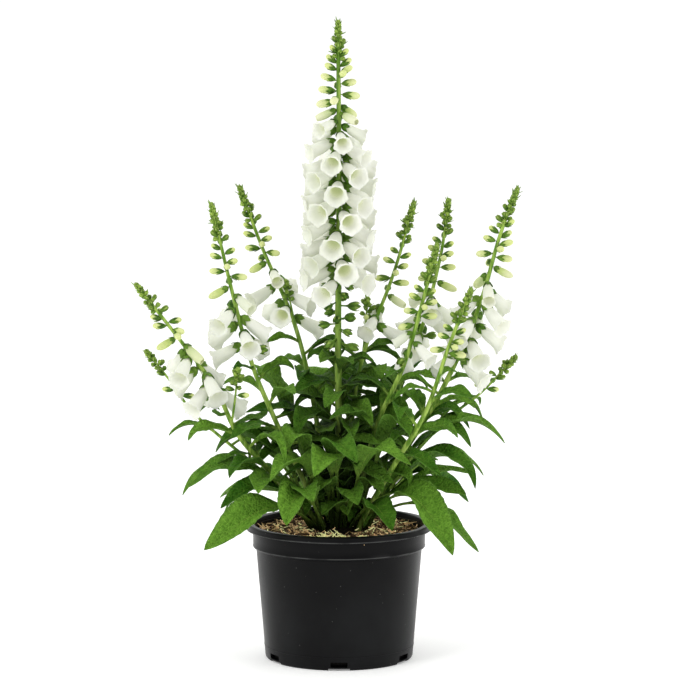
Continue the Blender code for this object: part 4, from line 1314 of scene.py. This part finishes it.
def make_pot_look():
    """The pot, turned fine, with drain slots, foot notches and the moulded ring above the foot."""
    taper = (BODY_RADIUS - BASE_RADIUS) / (COLLAR_FOOT - 1.5)

    def wall(z):
        return BASE_RADIUS + taper * z

    # Each part of the outline is measured from one height and one radius
    foot = [(0, -2.6), (0.25, -1.2), (1.0, -0.35), (2.4, taper * 2.4)]
    ring = [(-0.5, 0), (-0.2, 0.3), (0.3, 0.3), (0.6, 0)]
    collar = [(-0.9, -1.6), (-0.2, -0.5), (EDGE_BEAD, 0), (1.6, -0.4), (9, -0.3),
              (COLLAR_HEIGHT - 1.2, 0), (COLLAR_HEIGHT - 0.6, 0.6), (COLLAR_HEIGHT - 0.3, 3)]
    lip = [(-0.1, -0.7), (0.2, 0.1), (EDGE_BEAD, 0.35), (1.6, 0), (2.2, -0.25)]
    rim = [(-1.8, 0), (-0.7, -0.35), (-0.15, -1.1), (0, -2)]
    outline = [(z, BASE_RADIUS + r) for z, r in foot]
    outline += [(FOOT_RING + z, wall(FOOT_RING) + r) for z, r in ring]
    outline += [(z, wall(z)) for z in (COLLAR_FOOT * 0.5, COLLAR_FOOT - 3)]
    outline += [(COLLAR_FOOT - 1.6, wall(COLLAR_FOOT) + 0.1)]
    outline += [(COLLAR_FOOT + z, COLLAR_RADIUS + r) for z, r in collar]
    outline += [(LIP_FOOT + z, LIP_RADIUS + r) for z, r in lip]
    outline += [(POT_HEIGHT + z, LIP_RADIUS + r) for z, r in rim]
    outline += [(POT_HEIGHT, COLLAR_RADIUS + 0.5), (POT_HEIGHT - 0.6, COLLAR_RADIUS - WALL + 0.5),
                (POT_HEIGHT - 2.5, COLLAR_RADIUS - WALL), (COLLAR_FOOT + 2.5, COLLAR_RADIUS - WALL - 0.8),
                (COLLAR_FOOT, BODY_RADIUS - WALL), (6, wall(6) - WALL), (FLOOR + 1.7, BASE_RADIUS - WALL - 2)]
    pot = pulled_tube("pot", outline, POT_POINTS)
    cut_slots(pot)
    mesh = pattern(pot, "pot")
    mesh.transform(Matrix.Scale(MM, 4))
    take(gathered("nursery_pot", [mesh], paint_pot(), "black_plastic", ["pot"]))
    bpy.ops.object.shade_smooth_by_angle(angle=math.radians(32))


def crumb_height(x, y):
    """How far the surface of the mix stands above or below its level, in mm."""
    rough = noise.fractal(Vector((x, y, 0)) * 0.07, 0.8, 2.2, 4)
    return 1.3 * rough - 0.0004 * (x * x + y * y) * 0.3


def make_mix_look():
    clear = WALL + MIX_GAP
    rim = COLLAR_RADIUS - clear
    outline = [(FLOOR + 2.2, BASE_RADIUS - 5), (8, BASE_RADIUS - clear),
               (COLLAR_FOOT - 2, BODY_RADIUS - clear), (COLLAR_FOOT + 4, rim - 1), (MIX_TOP - 2.5, rim)]
    outline += [(MIX_TOP, rim - 1.5 - 2.2 * k) for k in range(MIX_RINGS)]
    body = pulled_tube("mix", outline, MIX_POINTS)
    for vert in body.data.vertices:
        x, y, z = vert.co
        if z > MIX_TOP - 0.5:
            vert.co.z = z + crumb_height(x, y) - 1.2
    mesh = pattern(body, "mix")
    mesh.transform(Matrix.Scale(MM, 4))
    gathered("damp_mix", [mesh], paint_mix(), "bark_mix", ["potting_mix"])
    chip = chip_pattern()
    draw = random.Random("chips")
    copies = []
    for i in range(CHIP_COUNT):
        out = (rim - 4) * math.sqrt(draw.random())
        turn = draw.uniform(0, 2 * math.pi)
        x = out * math.cos(turn)
        y = out * math.sin(turn)
        tilt = Matrix.Rotation(draw.gauss(0, CHIP_TILT), 4, "Y")
        tilt = tilt @ Matrix.Rotation(draw.uniform(0, 6.28), 4, "X")
        frame = Matrix.Translation((x, y, MIX_TOP + crumb_height(x, y) - 0.6 + draw.uniform(-0.8, 3.2)))
        frame = frame @ Matrix.Rotation(draw.uniform(0, 6.28), 4, "Z") @ tilt
        size = Matrix.Diagonal([draw.uniform(*limits) for limits in CHIP_SIZES] + [1])
        patch = math.hypot(x - PALE_PATCH[0], y - PALE_PATCH[1]) < PALE_PATCH[2]
        pale = draw.random() < PALE_CHIPS * (PATCH_CHIPS if patch else 1)
        copies.append(placed(chip, frame @ size, 1.0 if pale else draw.uniform(*CHIP_TONES)))
    gathered("bark_chips", copies, paint_chips(), "bark_mix", ["potting_mix"])


def leaf_copies(mesh, leaves, name, shade=SHADE_ALL):
    return [blade_copy(mesh, leaf, random.Random(f"{name} tone {i}").uniform(0.0, 1.0), shade)
            for i, leaf in enumerate(leaves)]


def close_leaves(draw, turns, foot, stalk, ranges):
    """Small leaves close round the crown, one at each compass angle."""
    leaves = []
    for turn in turns:
        side = heading(turn, 0)
        near, far, rise, arch, width, roll, sway = [draw.uniform(*limits) for limits in ranges]
        root = side * near + Vector((0, 0, MIX_TOP + foot))
        tip = side * far + Vector((0, 0, MIX_TOP + rise))
        leaves.append(Leaf(root, tip, arch, width, stalk, roll, sway, 1.5, draw.uniform(0, 6)))
    return leaves


def inner_leaves():
    """Old leaves that stand close round the crown, in its shade."""
    turns = [GOLDEN_ANGLE * i for i in range(INNER_LEAVES)]
    return close_leaves(random.Random("inner leaves"), turns, 6, 0.12, INNER_RANGES)


def front_small_leaves():
    """Leaves that arch over before the crown's stalks on its front side. Each draws its own angle first."""
    draw = random.Random("front small leaves")
    turns = (190 + 160 * (i + 0.5) / FRONT_SMALL_LEAVES + draw.uniform(-7, 7)
             for i in range(FRONT_SMALL_LEAVES))
    return close_leaves(draw, turns, 4, 0.3, FRONT_RANGES)


def heart_mesh(low):
    """The short woody crown at the surface of the mix."""
    outline = [(low - 2, CROWN_RADIUS - 3), (low, CROWN_RADIUS - 1),
               (low + CROWN_HEIGHT * 0.35, CROWN_RADIUS - 4), (low + CROWN_HEIGHT * 0.7, CROWN_RADIUS * 0.66),
               (low + CROWN_HEIGHT * 0.9, CROWN_RADIUS * 0.4), (low + CROWN_HEIGHT, 3)]
    heart = pulled_tube("heart", outline, 48)
    for vert in heart.data.vertices:
        x, y, z = vert.co
        lump = noise.noise(Vector((x, y, z)) * 0.16)
        vert.co = (x * (1 + 0.10 * lump), y * (1 + 0.10 * lump), z + 1.2 * lump)
    mesh = pattern(heart, "heart")
    mesh.transform(Matrix.Scale(MM, 4))
    return mesh


def bud_copies(patterns, buds, name, glow=0.0):
    """Petals and calyces of a run of buds: the small ones are all green, the large ones tipped with lime."""
    tips = []
    greens = []
    green_limit = BUD_COVERS[0][0]
    for i, (frame, length, radius) in enumerate(buds):
        draw = random.Random(f"{name} {i}")
        size = frame @ Matrix.Diagonal((radius, radius, length, 1))
        cover = next(cover for limit, cover in BUD_COVERS if radius <= limit)
        if radius > green_limit:
            ripe = held((radius - green_limit) / 2, 0, 0.7)
            tips.append(placed(patterns["bud"], size, ripe + draw.uniform(0.0, 0.3)))
        # glow: a random share of the buds is painted lighter, as painted highlights
        tone = draw.uniform(0.0, 0.25) + glow * draw.random() ** 2.5
        greens.append(placed(patterns["calyx", cover], size, tone))
        if radius <= green_limit:
            slim = Matrix.Diagonal((0.9, 0.9, 0.96, 1))
            greens.append(placed(patterns["green_bud"], size @ slim, min(tone + 0.2, 1)))
    return tips, greens


def tip_buds(stem, cone):
    """The smallest buds: packed to a point at the end of a spike, and looser towards its first full buds."""
    buds = []
    reach = cone + TIP_OVERLAP
    count = round(reach * TIP_BUDS_PER_MM)
    for i in range(count):
        share = i / (count - 1)
        root, up = stem.place(2.2 + reach * share * between(TIP_CROWDING, 1, share ** 1.4))
        out = Matrix.Rotation(math.radians(GOLDEN_ANGLE * i), 3, up) @ up.orthogonal().normalized()
        rise = between(*TIP_BUD_RISES, share ** 0.6)
        length = between(*TIP_BUD_LENGTHS, share ** 0.7)
        frame = hanging_frame(root, (out + up * rise).normalized())
        buds.append((frame, length, length * between(*TIP_BUD_GIRTHS, share)))
    return buds


def bract_copies(bract, frames, name, low=0.7, high=1.25):
    """A narrow bract under each flower stalk."""
    copies = []
    for i, frame in enumerate(frames):
        draw = random.Random(f"{name} bract {i}")
        out = (frame.to_3x3() @ Vector((0, 0, 1))).normalized()
        rise = Vector((0, 0, draw.uniform(-0.5, 0.2)))
        turned = hanging_frame(frame.translation + out * 1.2, (out + rise).normalized())
        spin = Matrix.Rotation(draw.uniform(-0.5, 0.5), 4, "Z")
        size = Matrix.Scale(draw.uniform(low, high), 4)
        copies.append(placed(bract, turned @ spin @ size, draw.uniform(0.1, 0.6)))
    return copies


def tip_copies(patterns, stem, cone, name):
    """The small buds of a spike's end, with the points of their bracts standing out between them."""
    buds = tip_buds(stem, cone)
    # the tip's buds get strong painted highlights
    greens = bud_copies(patterns, buds, name, 0.8)[1]
    return greens + bract_copies(patterns["bract"], [bud[0] for bud in buds[4::2]], name, 0.65, 0.95)


def make_stem_look(plan, name, patterns, paints):
    """One stem: its tube, leaves, calyces, buds and bells, as the solids of the same name have them."""
    facts = STEMS[name]
    stem = plan.stems[name]
    draw = random.Random(f"{name} looks")
    tube = [stalk_copy(patterns["stalk"], stem, 5, 0.06, 0.4 if name == "main" else 0.85)]
    tube += hairs_on(patterns["hair"], stem, 10, stem.length - 40, draw)
    petals, greens = bud_copies(patterns, plan.buds[name], name + " bud")
    greens += tip_copies(patterns, stem, facts["cone"], name + " tip")
    if name in SHOOTS:
        shoot = plan.shoots[name]
        tube.append(stalk_copy(patterns["stalk"], shoot, 2, 0.05, 0.8))
        more_petals, more_greens = bud_copies(patterns, plan.shoot_buds[name], name + " shoot bud")
        petals += more_petals
        greens += more_greens + tip_copies(patterns, shoot, SHOOT_TIP, name + " shoot tip")
    frames = [bloom[0] for bloom in plan.blooms[name]] + plan.husks[name]
    frames += [bud[0] for bud in plan.buds[name]]
    greens += bract_copies(patterns["bract"], frames, name)
    for frame in plan.husks[name]:
        greens.append(placed(patterns["husk"], frame, draw.uniform(0.0, 0.25)))
    bells = []
    for frame, openness in plan.blooms[name]:
        stage = next(stage for limit, stage in BELL_STAGES if openness <= limit)
        bells.append(placed(patterns["bell", stage], frame, draw.random()))
        greens.append(placed(patterns["calyx"], frame, draw.uniform(0.0, 0.3)))

    nodes = [name + "_stem"] + ([name + "_spike"] if facts["bell_count"] else [])
    leaves = leaf_copies(patterns["small_leaf"], plan.leaves[name], name)
    rows = (("stalk", tube, "stem", nodes), ("calyces", greens, "calyx", nodes[-1:]),
            ("petals", bells + petals, "petal", nodes[-1:]), ("leaves", leaves, "leaf", nodes[:1]))
    for look, copies, finish, replaced in rows:
        if copies:
            gathered(f"{name}_{look}", copies, *paints[finish], replaced)


def make_plant_look(plan):
    paints = {"leaf": (paint_leaf(), "leaf_green"), "stem": (paint_stem(), "stem_green"),
              "calyx": (paint_calyx(), "stem_green"), "petal": (paint_petal(), "petal_white")}
    patterns = {
        "stalk": stalk_pattern(),
        "hair": hair_pattern(),
        "bud": bud_pattern(FINE_BUD, 12),
        "green_bud": bud_pattern(COARSE_BUD, 6),
        "bract": small_leaf("bract", 9, 2.2, 5, 1.2, 0.3),
        "calyx": calyx_pattern(11, 19, 2.3, 4.8),
        "husk": husk_pattern(),
        "small_leaf": leaf_pattern(FINE_SMALL_LEAF_STEPS),
    }
    for _, cover in BUD_COVERS:
        patterns["calyx", cover] = bud_calyx_pattern(cover)
    for _, stage in BELL_STAGES:
        patterns["bell", stage] = bell_pattern(stage)
    crown = leaf_copies(leaf_pattern(FINE_LEAF_STEPS), plan.leaves["crown"], "crown")
    crown += leaf_copies(patterns["small_leaf"], inner_leaves(), "inner")
    crown += leaf_copies(patterns["small_leaf"], front_small_leaves(), "front small", FRONT_SHADE)
    gathered("basal_leaves", crown, *paints["leaf"], ["crown_leaves"])
    gathered("crown_heart", [heart_mesh(MIX_TOP)], paint_heart(), "stem_green", ["crown_leaves"])
    for name in STEMS:
        make_stem_look(plan, name, patterns, paints)


# Stage. The camera's place is in mm, and the other places and sizes are in metres.

CAMERA_PLACE = (1.5, -3200, 686)
CAMERA_PITCH = 6.33
CAMERA_LENS = 162.7
LIGHTS = [("key", (-2.0, -1.9, 2.2), 1.3, 34), ("fill", (2.5, -1.5, 1.2), 1.3, 18),
          ("back", (0.5, 2.4, 2.4), 1.6, 12)]  # name, place, size, power
LIT_SPOT = (0, 0, 0.3)
FLOOR_SIZE = 60


def make_camera():
    data = bpy.data.cameras.new("camera")
    data.lens = CAMERA_LENS
    data.sensor_width = 36
    data.clip_end = FLOOR_SIZE
    camera = bpy.data.objects.new("camera", data)
    camera.location = Vector(CAMERA_PLACE) * MM
    camera.rotation_euler = (math.radians(90 - CAMERA_PITCH), 0, 0)
    bpy.context.scene.collection.objects.link(camera)
    bpy.context.scene.camera = camera


def make_light(name, place, size, power):
    data = bpy.data.lights.new(name, "AREA")
    data.size = size
    data.energy = power
    light = bpy.data.objects.new(name, data)
    light.location = place
    light.rotation_euler = (Vector(LIT_SPOT) - Vector(place)).to_track_quat("-Z", "Y").to_euler()
    light.visible_camera = False
    bpy.context.scene.collection.objects.link(light)


def make_world():
    """White light all round, dimmer from the viewer's side than from behind the plant."""
    world = bpy.data.worlds.new("studio")
    world.use_nodes = True
    nodes = world.node_tree.nodes
    link = world.node_tree.links.new
    split = nodes.new("ShaderNodeSeparateXYZ")
    ramp = nodes.new("ShaderNodeMapRange")
    for socket, value in (("From Min", -1.0), ("From Max", -0.1), ("To Min", 0.4), ("To Max", 1.05)):
        ramp.inputs[socket].default_value = value
    link(nodes.new("ShaderNodeTexCoord").outputs["Generated"], split.inputs[0])
    link(split.outputs["Y"], ramp.inputs["Value"])
    link(ramp.outputs[0], nodes["Background"].inputs["Strength"])
    nodes["Background"].inputs["Color"].default_value = (1, 1, 1, 1)
    bpy.context.scene.world = world


def make_stage():
    let_go()
    bpy.ops.mesh.primitive_plane_add(size=FLOOR_SIZE)
    floor = bpy.context.object
    floor.name = "white_sweep"
    floor.data.materials.append(paint_floor())
    make_world()
    for row in LIGHTS:
        make_light(*row)
    make_camera()
    bpy.context.scene.view_settings.view_transform = "Standard"


let_go()
plant = Plan()
make_stage()
make_pot_look()
make_mix_look()
make_plant_look(plant)
